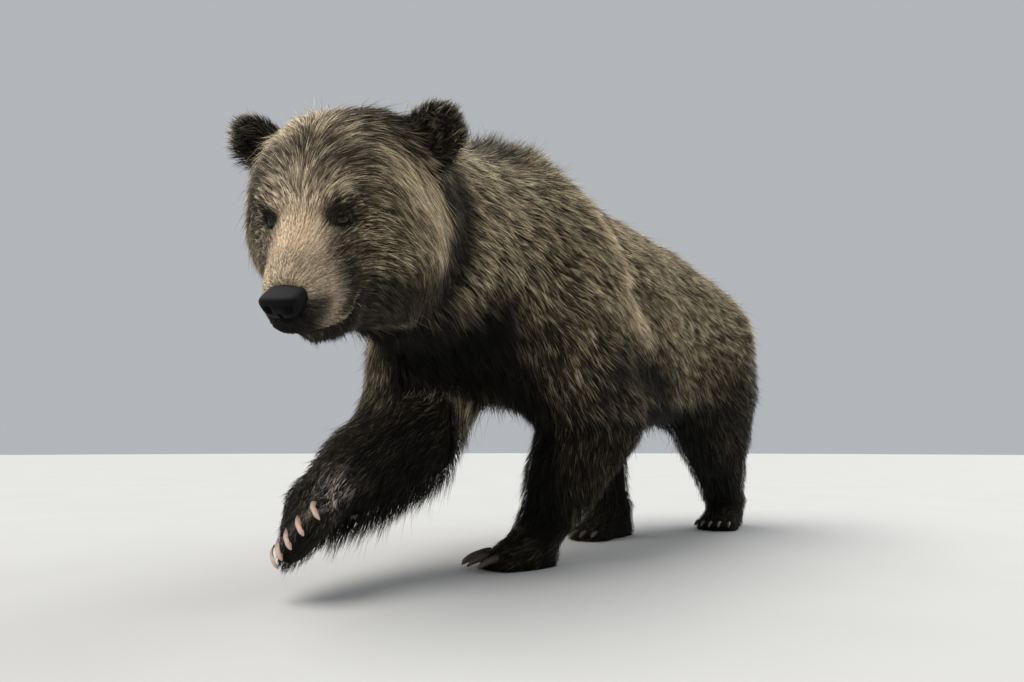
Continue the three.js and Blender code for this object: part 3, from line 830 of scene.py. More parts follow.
# Painted deep shade in the armpits, between the chest and the shoulders.
armpit_shade = np.maximum(*(near_place(skin, place, 0.105) for place in ARMPITS))
arm_front = patch("front_left_upper", (0.64, 0.19, 0.66), (0.080, 0.100, 0.110))
right_arm = patch("front_right_upper", (0.660, 0.058, 0.740), (0.075, 0.075, 0.110))
neck_low = patch("neck", (0.863, 0.400, 0.190), (0.080, 0.065, 0.080)) * off_head
throat_shade = patch("trunk", (0.694, 0.094, 0.333), 0.085)
palm = part_mask(4, "front_right_paw") * smooth(0.55, 0.85, normals @ PALM)
toes = smooth(0.032, 0.012, np.min([distance(skin, root) for root in toe_roots], axis=0))
crest = patch("neck", (0.55, 0.96, 0.96), (0.12, 0.17, 0.10))
mane = patch("trunk", (0.650, 0.120, 0.88), (0.11, 0.13, 0.09))
fringe = patch("front_right_upper", (0.86, 0.43, 0.40), 0.080)
flank_fringe = patch("trunk", (0.84, 0.66, 0.19), (0.07, 0.09, 0.045))
shoulder_rim = near_line(outer, BLADE, 0.030)
feather = part_mask(6, "front_right_lower") * smooth(0.15, 0.75, -normals[:, 2])
silver = np.maximum.reduce([
    patch("front_right_paw", (0.68, 0.66, 0.78), 0.040),
    patch("front_right_paw", (0.80, 0.48, 0.64), 0.032),
    toes * 0.55,
])
light_locks = np.maximum.reduce([
    fringe * 0.9,
    shoulder_rim,
    near_line(outer, ELBOW_RIM, 0.020) * 0.25,
    flank_fringe * 0.75,
])
near_crown = near_place(skin, CROWN, 0.05)
near_eye = np.maximum(*(near_place(skin, eyes[side][0], 0.038) for side in SIDES))
print("low", low_down.mean().round(3), "silver", silver.mean().round(3))

# %% [markdown]
# ## From masks to colours and hair
# The strongest dark mask wins at each point, and pale locks then cut through it. Pale hair is kept
# out of the dark places. The last step says where the hair is longer, wider and steeper, and where
# it droops.

# %% Dark, pale and tan
dark = np.maximum.reduce([
    get_value(skin_mesh, "dark"),
    arm_front * 0.62,
    neck_low * 0.66,
    right_arm * 0.60,
    # painted shadow down the back of the left foreleg
    near_line(in_coat, LEG_BACK_SHADE, 0.078) * off_head * 0.98,
    throat_shade * 2.4,
    lip * 0.96,
    nose_side * 0.76,
    jaw,
    # painted shade in the eye sockets
    socket * 0.92 * is_head,
    low_down * 0.5,
    low_down * legs_part * np.where(hind, 0.86, 0.80),
    # chest, belly and inner legs: partly own dark colour, partly painted shade
    chest,
    crown * 0.55,
    ear_flat * 0.66 * smooth(0.0, 0.5, hollow),
    belly * 0.8,
    inner,
    neck_band * 0.92,
    # painted shade on the lower cheeks
    cheek_shade * 0.80,
    # painted deep shade in the armpits
    armpit_shade * 2.0,
    chest * between * 1.3,
    # painted shadow from the elbow to the groin
    near_line(in_coat, SHADE_ELBOW_TO_GROIN, 0.082) * off_head * 0.95,
    right_brow * 0.38,
])
# The throat is lifted out of the dark: partly pale hair, partly painted light.
dark *= (1 - lip_fringe * 0.9) * (1 - throat * 0.6)
dark = np.maximum.reduce([dark, crest * 0.60, mane * 0.95])
dark *= 1 - light_locks * 0.9

pale = get_value(skin_mesh, "pale") * (1 - 0.90 * right_brow)
pale *= 1 - 0.65 * crown - 0.1 * is_head * (1 - ruff) * smooth(0.12, 0.2, from_nose)
pale = np.maximum(pale, np.maximum.reduce([ruff, lip_fringe, brow_light * 0.9]) * is_head)
shoulder_shade = patch("trunk", (0.90, 0.17, 0.52), (0.20, 0.18, 0.26)) * (1 - head_part)
# Painted shade in the hollow behind the shoulder blade: the hair there is made less pale.
blade_hollow_shade = near_line(outer, BEHIND_BLADE, 0.022)
pale *= (1 - arm_front * 0.5) * (1 - blade_hollow_shade * 0.2) * (1 - shoulder_shade * 0.38)
pale = np.maximum(pale, light_locks * 1.4) * (1 - np.minimum(dark, 1) * 0.85)

# No tan in the painted shade of the lower cheeks.
tan *= (1 - lip) * (1 - nose_side * 0.8) * (1 - cheek_shade)
tan = np.maximum.reduce([tan, ruff * 0.28, brow_light * 0.30, throat * 0.22, shoulder_rim * 0.50])
bare = np.maximum.reduce([under_nose, palm * 0.75, toes * 0.25])
print("masks: dark", dark.mean().round(2), "pale", pale.mean().round(2))

# %% Hair by mask
length = get_value(skin_mesh, "length")
length *= (1 + 0.25 * chest + 0.35 * belly + 0.80 * crest + 0.7 * flank_fringe + 0.9 * fringe
           + 1.5 * jaw + 0.4 * silver + 0.8 * feather)
length *= 1 - 0.62 * near_eye - 0.35 * lip * (1 - jaw) - 0.45 * toes
close = (1 - np.clip(socket * 1.6 - 0.75, 0, 1)) * (1 - bare)
rise = crest * 34 + fringe * 10 + jaw * 10 + near_crown * 12 + silver * 14 + shoulder_rim * 8
droop = [fringe, jaw * 1.1, feather * 0.8, belly * 0.35, flank_fringe * 0.7]
marked = {
    "dark": dark,
    "pale": pale,
    "tan": tan,
    "silver": silver,
    "bare": bare,
    "close": get_value(skin_mesh, "close") * close,
    "length": length,
    "width": get_value(skin_mesh, "width") * (1 + 0.6 * jaw + 0.7 * silver + 0.5 * crest),
    "rise": get_value(skin_mesh, "rise") + rise,
    "lie": get_value(skin_mesh, "lie") + crest * 36 + near_crown * 6,
    "droop": 0.12 + np.maximum.reduce(droop),
}
for name, values in marked.items():
    put_value(skin_mesh, name, values)
print("marked with", *marked)

# %% [markdown]
# ## Streaks
# Hair of one lock keeps together for much of its length, so a coat looks combed: ridges run along
# the lie, with darker gaps between them. A fine noise averaged over several steps along the lie is
# drawn out into such streaks. It is worked out from the place alone, so skin and tufts agree, and
# its slope across the lie tells each tuft which ridge it leans to.

# %% Streaks along the lie
FINE_CELL = 0.0023
COARSE_CELL = 0.0034
DRAWN = (-1.5, -1.0, -0.5, 0, 0.5, 1.0, 1.5)
DRAWN_STEP = 2.2
LATTICE_SHIFT = 4096
LEAN = 0.5


def chance_in(cells, seed):
    """A fixed chance value from 0 to 1 for each whole-numbered cell of a lattice."""
    x, y, z = cells.astype(np.uint32).T
    mixed = (x * 73856093) ^ (y * 19349663) ^ (z * 83492791) ^ np.uint32(seed * 9973)
    mixed = (mixed ^ (mixed >> 13)) * np.uint32(1274126177)
    return ((mixed ^ (mixed >> 16)) & 0xFFFFFF) / 0xFFFFFF


def soft_noise(points, cell, seed):
    """Chance values in cells of the given size, blended smoothly between them."""
    places = points / cell + LATTICE_SHIFT
    base = np.floor(places)
    part = places - base
    part = part * part * (3 - 2 * part)
    total = 0
    for corner in itertools.product((0, 1), repeat=3):
        share = np.prod(np.where(corner, part, 1 - part), axis=1)
        total = total + share * chance_in(base + corner, seed)
    return total


def streaks(points, lie, cell, seed=3):
    """Noise drawn out along the lie, about -2 to 2, so that it runs in streaks."""
    steps = (points + lie * (t * cell * DRAWN_STEP) for t in DRAWN)
    drawn = sum(soft_noise(step, cell, seed) for step in steps) / len(DRAWN)
    return np.clip((drawn - 0.5) / 0.075, -2, 2)


def lean_of(points, normal, lie, cell):
    """How far a tuft leans across the lie towards the ridge of its streak."""
    sideways = np.cross(normal, lie)
    step = sideways * (cell * 0.3)
    slope = (streaks(points + step, lie, cell) - streaks(points - step, lie, cell)) / 0.6
    return sideways * (np.clip(slope * LEAN, -0.8, 0.8) * cell)[:, None]


flow = get_value(skin_mesh, "flow")
flow = along_surface(flow, normals)
streak = np.where(head_part > 0, streaks(skin, flow, FINE_CELL), streaks(skin, flow, COARSE_CELL))
put_value(skin_mesh, "flow", flow)
put_value(skin_mesh, "streak", streak)
print("streaks spread", round(float(streak.std()), 2))

# %% [markdown]
# ## Node helpers and the pelt's colours
# Shader trees are easier to read when a node and its links are one line. The pelt's colouring is a
# node group that skin and coat share: roots are dark brown, tips run from brown to straw, and the
# masks turn them towards black, tan or silver. Tan hair is brightened as painted light, and where
# the dark mask goes beyond one, as in the painted deep shade of the throat and the armpits, the
# colour is dimmed further. The group puts out one colour only, and each material keeps its own
# shader.

# %% Shared nodes
def feed(tree, node, sockets):
    """Links each socket of a node to a value, or sets it where the value is a constant."""
    for socket, value in sockets.items():
        if isinstance(value, bpy.types.NodeSocket):
            tree.links.new(value, node.inputs[socket])
        else:
            node.inputs[socket].default_value = value


def add(tree, kind, sockets=(), **settings):
    """A node with its settings, and its sockets linked or set in one go."""
    made = tree.nodes.new("ShaderNode" + kind)
    for key, value in settings.items():
        setattr(made, key, value)
    feed(tree, made, dict(sockets))
    return made


def colour(red, green, blue):
    """A colour from its usual 0 to 255 values, as the linear light that shaders work in."""
    return tuple(((c / 255 + 0.055) / 1.055) ** 2.4 for c in (red, green, blue)) + (1.0,)


def mix(tree, share, a, b):
    return add(tree, "Mix", {0: share, 6: a, 7: b}, data_type="RGBA").outputs[2]


def blend(tree, share, a, b):
    return add(tree, "Mix", {0: share, 2: a, 3: b}).outputs[0]


def scaled(tree, value, by, plus):
    return add(tree, "Math", {0: value, 1: by, 2: plus}, operation="MULTIPLY_ADD").outputs[0]


def ramp(tree, value, low, high):
    made = add(tree, "MapRange", {0: value, 1: low, 2: high}, interpolation_type="SMOOTHSTEP")
    return made.outputs[0]


def own_place(tree):
    return add(tree, "TexCoord").outputs["Object"]


def noise(tree, place, scale, detail=2.0):
    return add(tree, "TexNoise", {"Vector": place, "Scale": scale, "Detail": detail}).outputs[0]


def bump(tree, height, strength, distance):
    sockets = {"Height": height, "Strength": strength, "Distance": distance}
    return add(tree, "Bump", sockets).outputs[0]


def pelt_colours():
    group = bpy.data.node_groups.new("grizzled_pelt", "ShaderNodeTree")
    for name in ("Along", "Chance", "Dark", "Pale", "Tan", "Silver"):
        group.interface.new_socket(name, in_out="INPUT", socket_type="NodeSocketFloat")
    group.interface.new_socket("Color", in_out="OUTPUT", socket_type="NodeSocketColor")
    given = group.nodes.new("NodeGroupInput").outputs
    along, chance, dark, pale, tan, silver = list(given)[:6]

    patches = noise(group, own_place(group), 9.0, 3.0)
    brown = mix(group, patches, colour(66, 54, 38), colour(98, 84, 60))
    straw = mix(group, chance, colour(142, 124, 92), colour(232, 215, 178))
    fawn = mix(group, chance, colour(196, 172, 140), colour(255, 240, 214))
    flecks = ramp(group, scaled(group, dark, -0.5, chance), 0.0, 0.8)
    black = mix(group, flecks, colour(32, 29, 24), colour(88, 79, 64))
    frosted = ramp(group, chance, 0.25, 0.85)
    frost = mix(group, frosted, colour(30, 26, 26), colour(244, 226, 210))
    tips = mix(group, ramp(group, scaled(group, chance, 1.1, pale), 0.62, 1.35), brown, straw)
    for share, tone in ((tan, fawn), (dark, black), (silver, frost)):
        tips = mix(group, share, tips, tone)
    roots = mix(group, tan, colour(32, 26, 19), colour(176, 152, 122))
    roots = mix(group, dark, roots, colour(12, 10, 9))
    made = mix(group, ramp(group, along, 0.10, 0.90), roots, tips)

    # How bright the colour is made: it varies at random from tuft to tuft and is higher on pale
    # hair. Tan hair is lifted above its own colour, as painted light against the shade the tufts
    # cast on each other. Dark hair is dimmed, and where the dark mask goes beyond one, as in the
    # painted deep shade of the throat and the armpits, the colour drops to 0.3.
    light = scaled(group, pale, 0.30, scaled(group, chance, 1.55, 0.0))
    light = blend(group, tan, light, scaled(group, chance, 0.45, 1.30))
    light = blend(group, ramp(group, dark, 0.3, 1.0), light, scaled(group, chance, 0.90, 0.36))
    light = blend(group, ramp(group, dark, 1.0, 1.5), light, 0.3)
    made = add(group, "VectorMath", {0: made, 3: light}, operation="SCALE").outputs[0]
    feed(group, group.nodes.new("NodeGroupOutput"), {"Color": made})
    return group


pelt = pelt_colours()


def new_material(name):
    material = bpy.data.materials.new(name)
    material.use_nodes = True
    tree = material.node_tree
    shader = tree.nodes["Principled BSDF"]
    return material, tree, shader


def value_of(tree, name):
    return add(tree, "Attribute", attribute_name=name).outputs["Fac"]


def pelt_node(tree, along, luck):
    made = tree.nodes.new("ShaderNodeGroup")
    made.node_tree = pelt
    masks = {name: value_of(tree, name.lower()) for name in ("Dark", "Pale", "Tan", "Silver")}
    feed(tree, made, {"Along": along, "Chance": luck, **masks})
    return made.outputs["Color"]


def skin_material():
    material, tree, shader = new_material("underfur")
    grain = noise(tree, own_place(tree), 420.0, 4.0)
    combed = scaled(tree, value_of(tree, "streak"), 0.16, grain)
    bare_skin = value_of(tree, "bare")
    hide = mix(tree, value_of(tree, "tan"), colour(14, 12, 12), colour(84, 78, 80))
    feed(tree, shader, {
        "Base Color": mix(tree, bare_skin, pelt_node(tree, 0.5, combed), hide),
        "Specular IOR Level": 0.15,
        "Roughness": scaled(tree, bare_skin, -0.25, 0.9),
        "Normal": bump(tree, combed, 0.6, 0.002),
    })
    return material


def fur_material():
    material, tree, shader = new_material("guard_fur")
    fur = pelt_node(tree, value_of(tree, "along"), value_of(tree, "luck"))
    feed(tree, shader, {"Base Color": fur, "Roughness": 0.55, "Specular IOR Level": 0.22})
    return material


bear_skin.data.materials.append(skin_material())
fur_finish = fur_material()
write(skin_mesh.polygons, "use_smooth", np.ones(len(skin_mesh.polygons)), bool)
print("pelt materials ready")

# %% [markdown]
# ## The coat
# Real fur is millions of hairs. Seen from where we stand, what the eye picks out is the lock: a few
# hairs that lie together and end in one point. So each tuft here is a thin three-sided spindle. It
# leaves the skin at a point, is widest at its knee and bends over there along the lie of the coat.
# Such a spindle is closed with only six triangles, so a quarter of a million of them cover the
# bear. Neighbours lean towards a shared tip, as damp or oily hair does, and a few stray hairs stand
# out from the rest.

# %% Places for the roots
FLOOR_GAP = 0.0015
SPARE = 0.008
reach_out = (solid_bounds[1] - solid_bounds[0]) * 0.03 + SPARE
coat_low = solid_bounds[0] - reach_out
coat_high = solid_bounds[1] + reach_out
coat_low[2] = FLOOR_GAP
skin_mesh.calc_loop_triangles()
corner_index = read(skin_mesh.loop_triangles, "vertices", 3, int)
loop_index = read(skin_mesh.loop_triangles, "loops", 3, int)
map_places = read(skin_mesh.uv_layers["OFBake"].data, "uv", 2)

skin = corners_of(skin_mesh)
normals = normals_of(skin_mesh)
flow = get_value(skin_mesh, "flow")
trait = {name: get_value(skin_mesh, name) for name in CARRIED + ("tan", "silver", "droop")}
tri_middle = skin[corner_index].mean(1)
edge_a = skin[corner_index[:, 1]] - skin[corner_index[:, 0]]
edge_b = skin[corner_index[:, 2]] - skin[corner_index[:, 0]]
tri_area = np.linalg.norm(np.cross(edge_a, edge_b), axis=1) / 2
tri_close = trait["close"][corner_index].mean(1)
tri_owner = owner[corner_index[:, 0]]
tri_nose = distance(tri_middle, nose_middle)
tri_sole = (tri_middle[:, 2] < 0.006) & (normals[corner_index].mean(1)[:, 2] < -0.5)
print("skin area", tri_area.sum().round(2), "square metres")


def wander(points, size, seed):
    """A slow random wave through space, from -1 to 1, that repeats about every size metres."""
    waves = np.random.default_rng(seed).normal(size=(7, 3)) * (4.4 / size)
    phases = np.random.default_rng(seed + 1).uniform(0, 2 * math.pi, 7)
    return np.sin(points @ waves.T + phases).mean(1) * 1.6


def part_is(*words):
    wanted = [i for i, name in enumerate(FLESH) if any(word in name for word in words)]
    return np.isin(tri_owner, wanted)


# %% Growing the tufts
RING = np.radians([90, 210, 330])
TUFT = ((0, 2, 1), (0, 3, 2), (0, 1, 3), (1, 2, 4), (2, 3, 4), (3, 1, 4))
KNEE = 0.42
ALONG = (0, KNEE, KNEE, KNEE, 1.0)
ACROSS = (0, -0.5, 0, 0.5, 0)
FLATNESS = 0.6
PATCH = 0.003
SHARE = 1.0
EYE_CLEAR = (0.016, 0.011)
CUT_SHORT = 0.30
STRAY_SHARE = 0.05
SHADE_SPREAD = 0.15
LUCK_SPREAD = 0.20
BEND_SPREAD = 0.13
ROOT_DEPTH = 0.0004


def turned(vectors, axes, angles):
    """Vectors turned about axes square to them, each by its own angle."""
    side = np.cross(axes, vectors)
    return vectors * np.cos(angles)[:, None] + side * np.sin(angles)[:, None]


def scatter(rng, chosen, count):
    """Chance places on the chosen triangles, as triangles and the shares of their corners."""
    weight = np.cumsum(np.where(chosen & ~tri_sole, tri_area * tri_close, 0))
    spots = (np.arange(count) + rng.random(count)) / count * weight[-1]
    a, b = rng.random(count), rng.random(count)
    flip = a + b > 1
    a[flip], b[flip] = 1 - a[flip], 1 - b[flip]
    return np.searchsorted(weight, spots), np.stack([1 - a - b, a, b], 1)


def nearest_leaders(rng, root, clump):
    """Each tuft's leader: the nearest of those drawn by lot, one for every clump."""
    leaders = rng.choice(len(root), max(1, len(root) // clump), replace=False)
    tree = KDTree(len(leaders))
    for i, leader in enumerate(leaders):
        tree.insert(root[leader], i)
    tree.balance()
    return leaders[np.array([tree.find(p)[1] for p in root])]


def clear_eyes(root, knee, tip):
    """Cuts short what would hang in front of an eye."""
    for centre, axes in eyes.values():
        for how_far in (0.5, 1.0):
            seen = (knee + (tip - knee) * how_far - centre) @ axes.T
            over = np.hypot(seen[:, 1] / EYE_CLEAR[0], seen[:, 2] / EYE_CLEAR[1]) < 1
            over &= seen[:, 0] > 0
            for end in (tip, knee):
                end[over] = root[over] + (end[over] - root[over]) * CUT_SHORT


def spindles(start, knee, tip, width, normal):
    """The five points of each tuft: its root, three round its knee, and its tip."""
    side = unit(np.cross(knee - start, normal))
    up = unit(np.cross(side, tip - start))
    around = [side * math.cos(a) + up * (math.sin(a) * FLATNESS) for a in RING]
    middles = [knee + way * (width * 0.5)[:, None] for way in around]
    return np.clip(np.stack([start, *middles, tip], 1), coat_low, coat_high)


def tuft_mesh(name, points, place, marks):
    """One mesh of many spindles, with their values and their places on the skin's map."""
    count, each, _ = points.shape
    mesh = bpy.data.meshes.new(name)
    mesh.vertices.add(count * each)
    write(mesh.vertices, "co", points)
    loops = (np.arange(count)[:, None] * each + np.ravel(TUFT)).ravel()
    mesh.loops.add(len(loops))
    write(mesh.loops, "vertex_index", loops, np.int32)
    mesh.polygons.add(count * len(TUFT))
    write(mesh.polygons, "loop_start", np.arange(0, len(loops), 3), np.int32)
    mesh.update(calc_edges=True)
    along = np.tile(ALONG, (count, 1))
    put_value(mesh, "along", along.ravel())
    for key, values in marks.items():
        put_value(mesh, key, np.repeat(values, each))
    flat = np.stack([np.tile(ACROSS, (count, 1)), along - 0.5], 2) * PATCH + place[:, None, :]
    baked = mesh.uv_layers.new(name="OFBake")
    write(baked.data, "uv", flat.reshape(-1, 2)[loops])
    mesh.materials.append(fur_finish)
    return mesh


def grow(name, chosen, count, clump, gather, cell, mess, comb, seed):
    """One coat piece: count tufts on the chosen triangles of the skin."""
    rng = np.random.default_rng(7000 + seed)
    count = int(count * SHARE)
    tri, share = scatter(rng, chosen, count)

    def sample(values, index=corner_index):
        return (values[index[tri]] * share.reshape(share.shape + (1,) * (values.ndim - 1))).sum(1)

    def varied(key, low, high, of_stray):
        return here[key] * rng.uniform(low, high, count) * np.where(stray, of_stray, 1.0)

    def risen(degrees):
        angle = np.radians(degrees)[:, None]
        return lie * np.cos(angle) + normal * np.sin(angle)

    root = sample(skin)
    normal = unit(sample(normals))
    here = {key: sample(values) for key, values in trait.items()}
    bend = wander(root, 0.10, 11) * 0.30 + wander(root, 0.035, 12) * 0.15
    bend = (bend + rng.normal(0, BEND_SPREAD, count)) * mess
    lie = turned(along_surface(sample(flow), normal), normal, bend)
    stray = rng.random(count) < STRAY_SHARE
    ridge = streaks(root, lie, cell) * comb
    lean = lean_of(root, normal, lie, cell) * comb

    length = varied("length", 0.75, 1.2, 1.25) * (1 + 0.10 * ridge)
    first = risen(varied("rise", 0.75, 1.25, 1.3) * (1 + 0.18 * ridge))
    second = unit(risen(varied("lie", 0.4, 1.6, 1.8)) + DOWN * here["droop"][:, None])
    width = varied("width", 0.75, 1.25, 0.6)
    start = root - normal * ROOT_DEPTH
    knee = start + first * (length * KNEE)[:, None]
    tip = knee + second * (length * (1 - KNEE))[:, None]

    # Neighbours gather round a leader's tip and share its shade.
    led = nearest_leaders(rng, root, clump)
    pull = (gather * rng.uniform(0.5, 1.3, count) * ~stray)[:, None]
    offset = root - root[led]
    pull *= np.exp(-((np.linalg.norm(offset, axis=1) / (length * 0.7)) ** 2))[:, None]
    knee += (knee[led] + offset - knee) * pull * 0.5 - offset * pull * 0.25 + lean * 0.7
    tip += (tip[led] + offset * 0.25 - tip) * pull + lean * 1.5
    clear_eyes(root, knee, tip)

    shade = rng.normal(0, SHADE_SPREAD, count)
    luck = 0.5 + ridge * 0.15 + wander(root, 0.05, 5) * 0.08 + shade[led] * comb
    luck += rng.normal(0, LUCK_SPREAD, count) * (0.3 + 0.7 * comb)
    marks = {key: here[key] for key in ("dark", "pale", "tan", "silver")}
    marks["luck"] = np.clip(luck, 0, 1)
    points = spindles(start, knee, tip, width, normal)
    print(name, count, "tufts,", count * len(TUFT), "triangles")
    return add_piece(name, tuft_mesh(name, points, sample(map_places, loop_index), marks))


# %% The coat's pieces
MUZZLE_END = 0.155
FACE_END = 0.27
trunk_left = tri_middle[:, 0] > skin[:, 0].mean()
trunk_front = tri_middle[:, 1] < middle("trunk")[1]
on_trunk = part_is("trunk")
face = part_is("head") & (tri_nose >= MUZZLE_END) & (tri_nose < FACE_END)
# Where each piece grows, how many tufts it has, how many of them share a leader, and how strongly
# they gather round its tip.
PIECES = (
    ("coat_muzzle", part_is("head") & (tri_nose < MUZZLE_END), 27000, 4, 0.12),
    ("coat_face", face, 33000, 5, 0.32),
    ("coat_crown", part_is("head", "ear") & (tri_nose >= FACE_END), 30000, 5, 0.40),
    ("coat_neck", part_is("neck"), 26000, 5, 0.44),
    ("coat_shoulder_left", on_trunk & trunk_left & trunk_front, 25000, 5, 0.44),
    ("coat_shoulder_right", on_trunk & ~trunk_left & trunk_front, 17500, 5, 0.44),
    ("coat_rump_left", on_trunk & trunk_left & ~trunk_front, 17500, 5, 0.44),
    ("coat_rump_right", on_trunk & ~trunk_left & ~trunk_front, 15000, 5, 0.44),
    ("coat_front_left_leg", part_is("front_left"), 18500, 5, 0.40),
    ("coat_front_right_leg", part_is("front_right"), 18500, 5, 0.40),
    ("coat_hind_left_leg", part_is("hind_left", "tail"), 12500, 5, 0.40),
    ("coat_hind_right_leg", part_is("hind_right"), 11000, 5, 0.40),
)
# Streak size, how much the lie wanders, and how strongly the streaks show.
MANNER = {
    "coat_muzzle": (FINE_CELL, 0.35, 0.40),
    "coat_face": (FINE_CELL, 0.7, 0.75),
    "coat_crown": (FINE_CELL, 0.6, 1.0),
}
coat = []
for seed, (name, chosen, count, clump, gather) in enumerate(PIECES):
    manner = MANNER.get(name, (COARSE_CELL, 1.0, 1.0))
    coat.append(grow(name, chosen, count, clump, gather, *manner, seed))
print("coat", sum(len(piece.data.polygons) for piece in coat), "triangles")

# %% [markdown]
# ## The nose pad
# The pad is bare, black and pebbled, broad at the top with two comma-shaped nostrils and a groove
# down the middle. It starts as an icosphere, which has even faces all over. A power curve squares
# it off, and the nostrils and groove are pressed in by rules of distance.

# %% Nose
NOSE_HALF = np.array([0.028, 0.0330, 0.0210])
NOSE_SQUARE = np.array([0.30, 0.58, 0.28])
NOSTRIL = np.array([0.0160, -0.003])
HOLE_DEPTH = 0.013
SLIT_DEPTH = 0.0060
GROOVE_DEPTH = 0.0026
nose_place = nose_middle + upward * 0.0025 + across * 0.0020 - forward * 0.0030


def nostril_press(y, z):
    """How deep the front of the pad is pressed in at y across and z up from its middle."""
    y = abs(y)
    hole = ((y - NOSTRIL[0]) / 0.0068) ** 2 + ((z - NOSTRIL[1]) / 0.0048) ** 2
    slit_at = min(1.0, max(0.0, (y - NOSTRIL[0]) / 0.018))
    slit = math.exp(-(((z - NOSTRIL[1] - 0.004 * slit_at) / 0.0022) ** 2)) * float(y > NOSTRIL[0])
    groove = math.exp(-((y / 0.0016) ** 2)) * float(smooth(0.006, -0.008, z))
    slit_depth = SLIT_DEPTH * slit * math.exp(-slit_at)
    return HOLE_DEPTH * math.exp(-(hole**1.5)) + slit_depth + GROOVE_DEPTH * groove


def make_nose():
    pad = bmesh.new()
    bmesh.ops.create_icosphere(pad, subdivisions=6, radius=1)
    painted_top_sheen = []
    for v in pad.verts:
        p = np.array(v.co)
        p = np.sign(p) * np.abs(p) ** NOSE_SQUARE
        low, high = max(0.0, -p[2]), max(0.0, p[2])
        p[1] *= 1 - 0.34 * low**1.2 - 0.06 * high
        p[0] -= 0.36 * low * max(0.0, p[0]) + 0.10 * p[1] ** 2
        p[2] -= 0.16 * high * (p[1] ** 2) + 0.10 * high * max(0.0, p[0])
        # The top of the pad gets a share of lighter grey: painted sheen of the sky.
        painted_top_sheen.append(float(smooth(0.55, 0.90, p[2])))
        q = p * NOSE_HALF
        q[0] -= nostril_press(q[1], q[2]) * float(smooth(-0.002, 0.008, q[0]))
        v.co = Vector(nose_place + q @ jaw_axes)
    piece = finish_mesh("nose_pad", pad)
    put_value(piece.data, "painted_top_sheen", np.array(painted_top_sheen))
    return piece


nose_pad = make_nose()

# %% [markdown]
# ## Claws
# The claws are horn, and the solids already have their curve. A merged copy of each is rounded
# with two levels of subdivision, after it is grown by what that takes off. The forepaw claws of a
# grizzly are long. On the lifted paw they are pale, on the others they are dark brown, and
# each is darker at its base, where the horn is new.

# %% Claws
CLAW_PUSH = 0.0015


def make_claw(name):
    mesh = merged_copy(name, CLAW_PUSH)
    piece = add_piece(name + "_horn", mesh)
    paw = middle(name.rsplit("_claw", 1)[0] + "_paw")
    reach = distance(corners_of(mesh), paw)
    put_value(mesh, "tipward", smooth(0.10, 0.85, (reach - reach.min()) / np.ptp(reach)))
    round_off = piece.modifiers.new("round", "SUBSURF")
    round_off.levels = round_off.render_levels = 2
    return piece


claws = {name: make_claw(name) for name in sorted(nodes) if "claw" in name}
print(len(claws), "claws")

# %% [markdown]
# ## Finishes of the bare pieces
# The eyes are wet and dark, with a brown iris that hardly shows. The nose pad and the lids are
# leather made of small pebbles, and the claws are horn with fine streaks. The top of the nose pad
# is painted a lighter grey, as the sheen of the sky on it.

# %% Materials
def eye_material():
    material, tree, shader = new_material("wet_eye")
    off = value_of(tree, "off_gaze")
    spokes = add(tree, "CombineXYZ", {0: value_of(tree, "turn"), 1: off}).outputs[0]
    iris = mix(tree, noise(tree, spokes, 9.0, 3.0), colour(22, 15, 11), colour(50, 33, 22))
    tone = mix(tree, ramp(tree, off, 0.34, 0.40), colour(4, 3, 3), iris)
    tone = mix(tree, ramp(tree, off, 0.66, 0.80), tone, colour(78, 74, 72))
    feed(tree, shader, {"Base Color": tone, "Roughness": 0.06, "Specular IOR Level": 0.28})
    return material


def leather_material(name, dark_tone, light_tone, scale, rough, strength):
    material, tree, shader = new_material(name)
    place = own_place(tree)
    cells = add(tree, "TexVoronoi", {"Vector": place, "Scale": scale}, feature="DISTANCE_TO_EDGE")
    pebbles = ramp(tree, cells.outputs["Distance"], 0.0, 0.18)
    mottle = noise(tree, place, scale * 0.2, 3.0)
    tone = mix(tree, scaled(tree, pebbles, mottle, 0.0), dark_tone, light_tone)
    feed(tree, shader, {
        # Towards a lighter grey on the pad's top: painted sheen.
        "Base Color": mix(tree, value_of(tree, "painted_top_sheen"), tone, colour(42, 41, 42)),
        "Specular IOR Level": 0.09,
        "Roughness": scaled(tree, mottle, 0.2, rough - 0.1),
        "Normal": bump(tree, pebbles, strength, 0.0006),
    })
    return material


def horn_material(name, base, tip):
    material, tree, shader = new_material(name)
    grain = noise(tree, own_place(tree), 130.0, 4.0)
    tipward = scaled(tree, value_of(tree, "tipward"), 0.75, scaled(tree, grain, 0.3, 0.0))
    feed(tree, shader, {
        "Base Color": mix(tree, tipward, base, tip),
        "Roughness": scaled(tree, grain, 0.25, 0.28),
        "Normal": bump(tree, grain, 0.35, 0.0006),
    })
    return material


nose_leather = leather_material("nose_leather", colour(3, 3, 3), colour(13, 12, 13), 620, 0.50, 0.6)
lid_leather = leather_material("lid_leather", colour(8, 7, 7), colour(24, 20, 19), 900, 0.45, 0.3)
wet_eye = eye_material()
dark_horn = horn_material("dark_horn", colour(46, 36, 28), colour(92, 76, 60))
pale_horn = horn_material("pale_horn", colour(78, 58, 50), colour(204, 174, 152))

nose_pad.data.materials.append(nose_leather)
for side in SIDES:
    eyeballs[side].data.materials.append(wet_eye)
    eyelids[side].data.materials.append(lid_leather)
for name, piece in claws.items():
    piece.data.materials.append(pale_horn if name.startswith("front_right") else dark_horn)

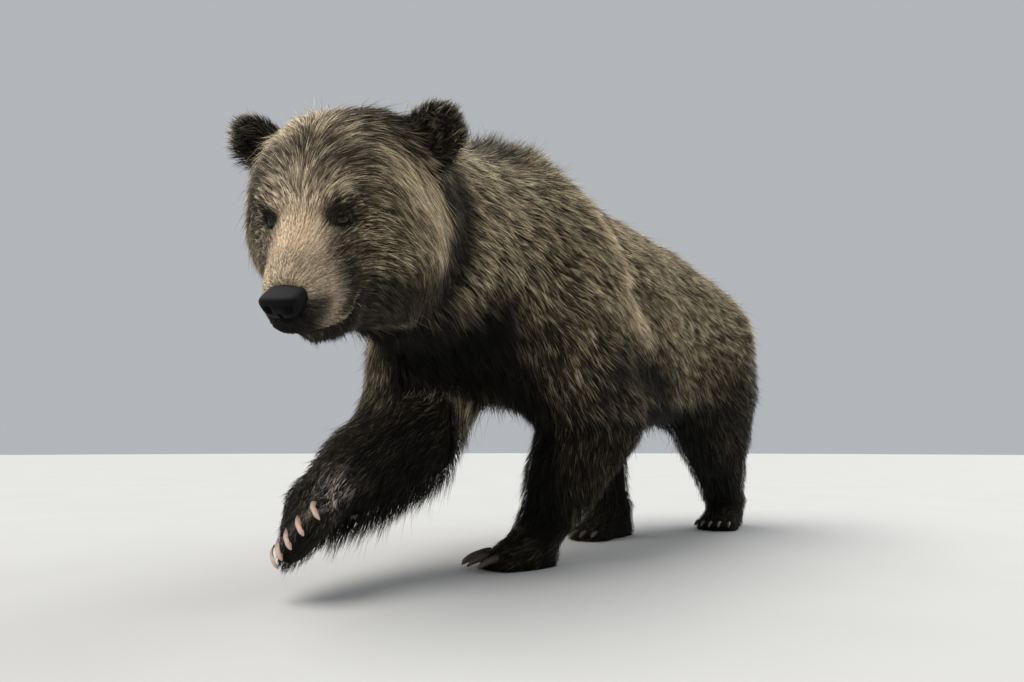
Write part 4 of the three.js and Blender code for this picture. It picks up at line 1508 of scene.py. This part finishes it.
# %% [markdown]
# ## Light and floor
# The bear stands on a plain pale floor under an even bright sky. Two very broad suns stand for the
# brighter parts of the sky: the stronger one high in front of the bear and a little to its right,
# the weaker one behind it and to its left.

# %% Stage
SKY_COLOUR = (0.80, 0.83, 0.87, 1)
SKY_STRENGTH = 0.56
FLOOR_RADIUS = 30
floor_bm = bmesh.new()
bmesh.ops.create_circle(floor_bm, cap_ends=True, segments=96, radius=FLOOR_RADIUS)
floor = finish_mesh("floor", floor_bm)
floor_finish, floor_tree, floor_shader = new_material("pale_floor")
mottle = noise(floor_tree, own_place(floor_tree), 2.0)
floor_tone = mix(floor_tree, mottle, colour(196, 195, 192), colour(204, 203, 200))
feed(floor_tree, floor_shader, {"Base Color": floor_tone, "Roughness": 0.8})
floor.data.materials.append(floor_finish)

world = bpy.data.worlds.new("sky")
world.use_nodes = True
sky = world.node_tree.nodes["Background"]
feed(world.node_tree, sky, {"Color": SKY_COLOUR, "Strength": SKY_STRENGTH})
scene.world = world


def soft_sun(name, came_from, strength, spread_angle, tint):
    """A very broad sun: even over the whole floor, with soft shadows."""
    light = bpy.data.lights.new(name, "SUN")
    light.energy = strength
    light.angle = math.radians(spread_angle)
    light.color = tint
    lamp = bpy.data.objects.new(name, light)
    lamp.rotation_euler = Vector(came_from).to_track_quat("Z", "Y").to_euler()
    scene.collection.objects.link(lamp)


soft_sun("high_sky", (-0.22, -0.55, 1.0), 2.7, 50, (1.0, 0.98, 0.95))
soft_sun("back_sky", (0.35, 0.80, 0.75), 1.1, 60, (0.95, 0.97, 1.0))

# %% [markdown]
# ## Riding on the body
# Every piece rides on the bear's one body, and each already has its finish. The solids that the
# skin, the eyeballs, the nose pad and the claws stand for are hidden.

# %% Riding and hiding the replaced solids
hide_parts(*FLESH)
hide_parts("nose")
for side in SIDES:
    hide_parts(f"eye_{side}")
for name, piece in claws.items():
    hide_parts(name)
everything = [bear_skin, nose_pad, *eyeballs.values(), *eyelids.values(), *claws.values(), *coat]
for piece in everything:
    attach(piece, "root")
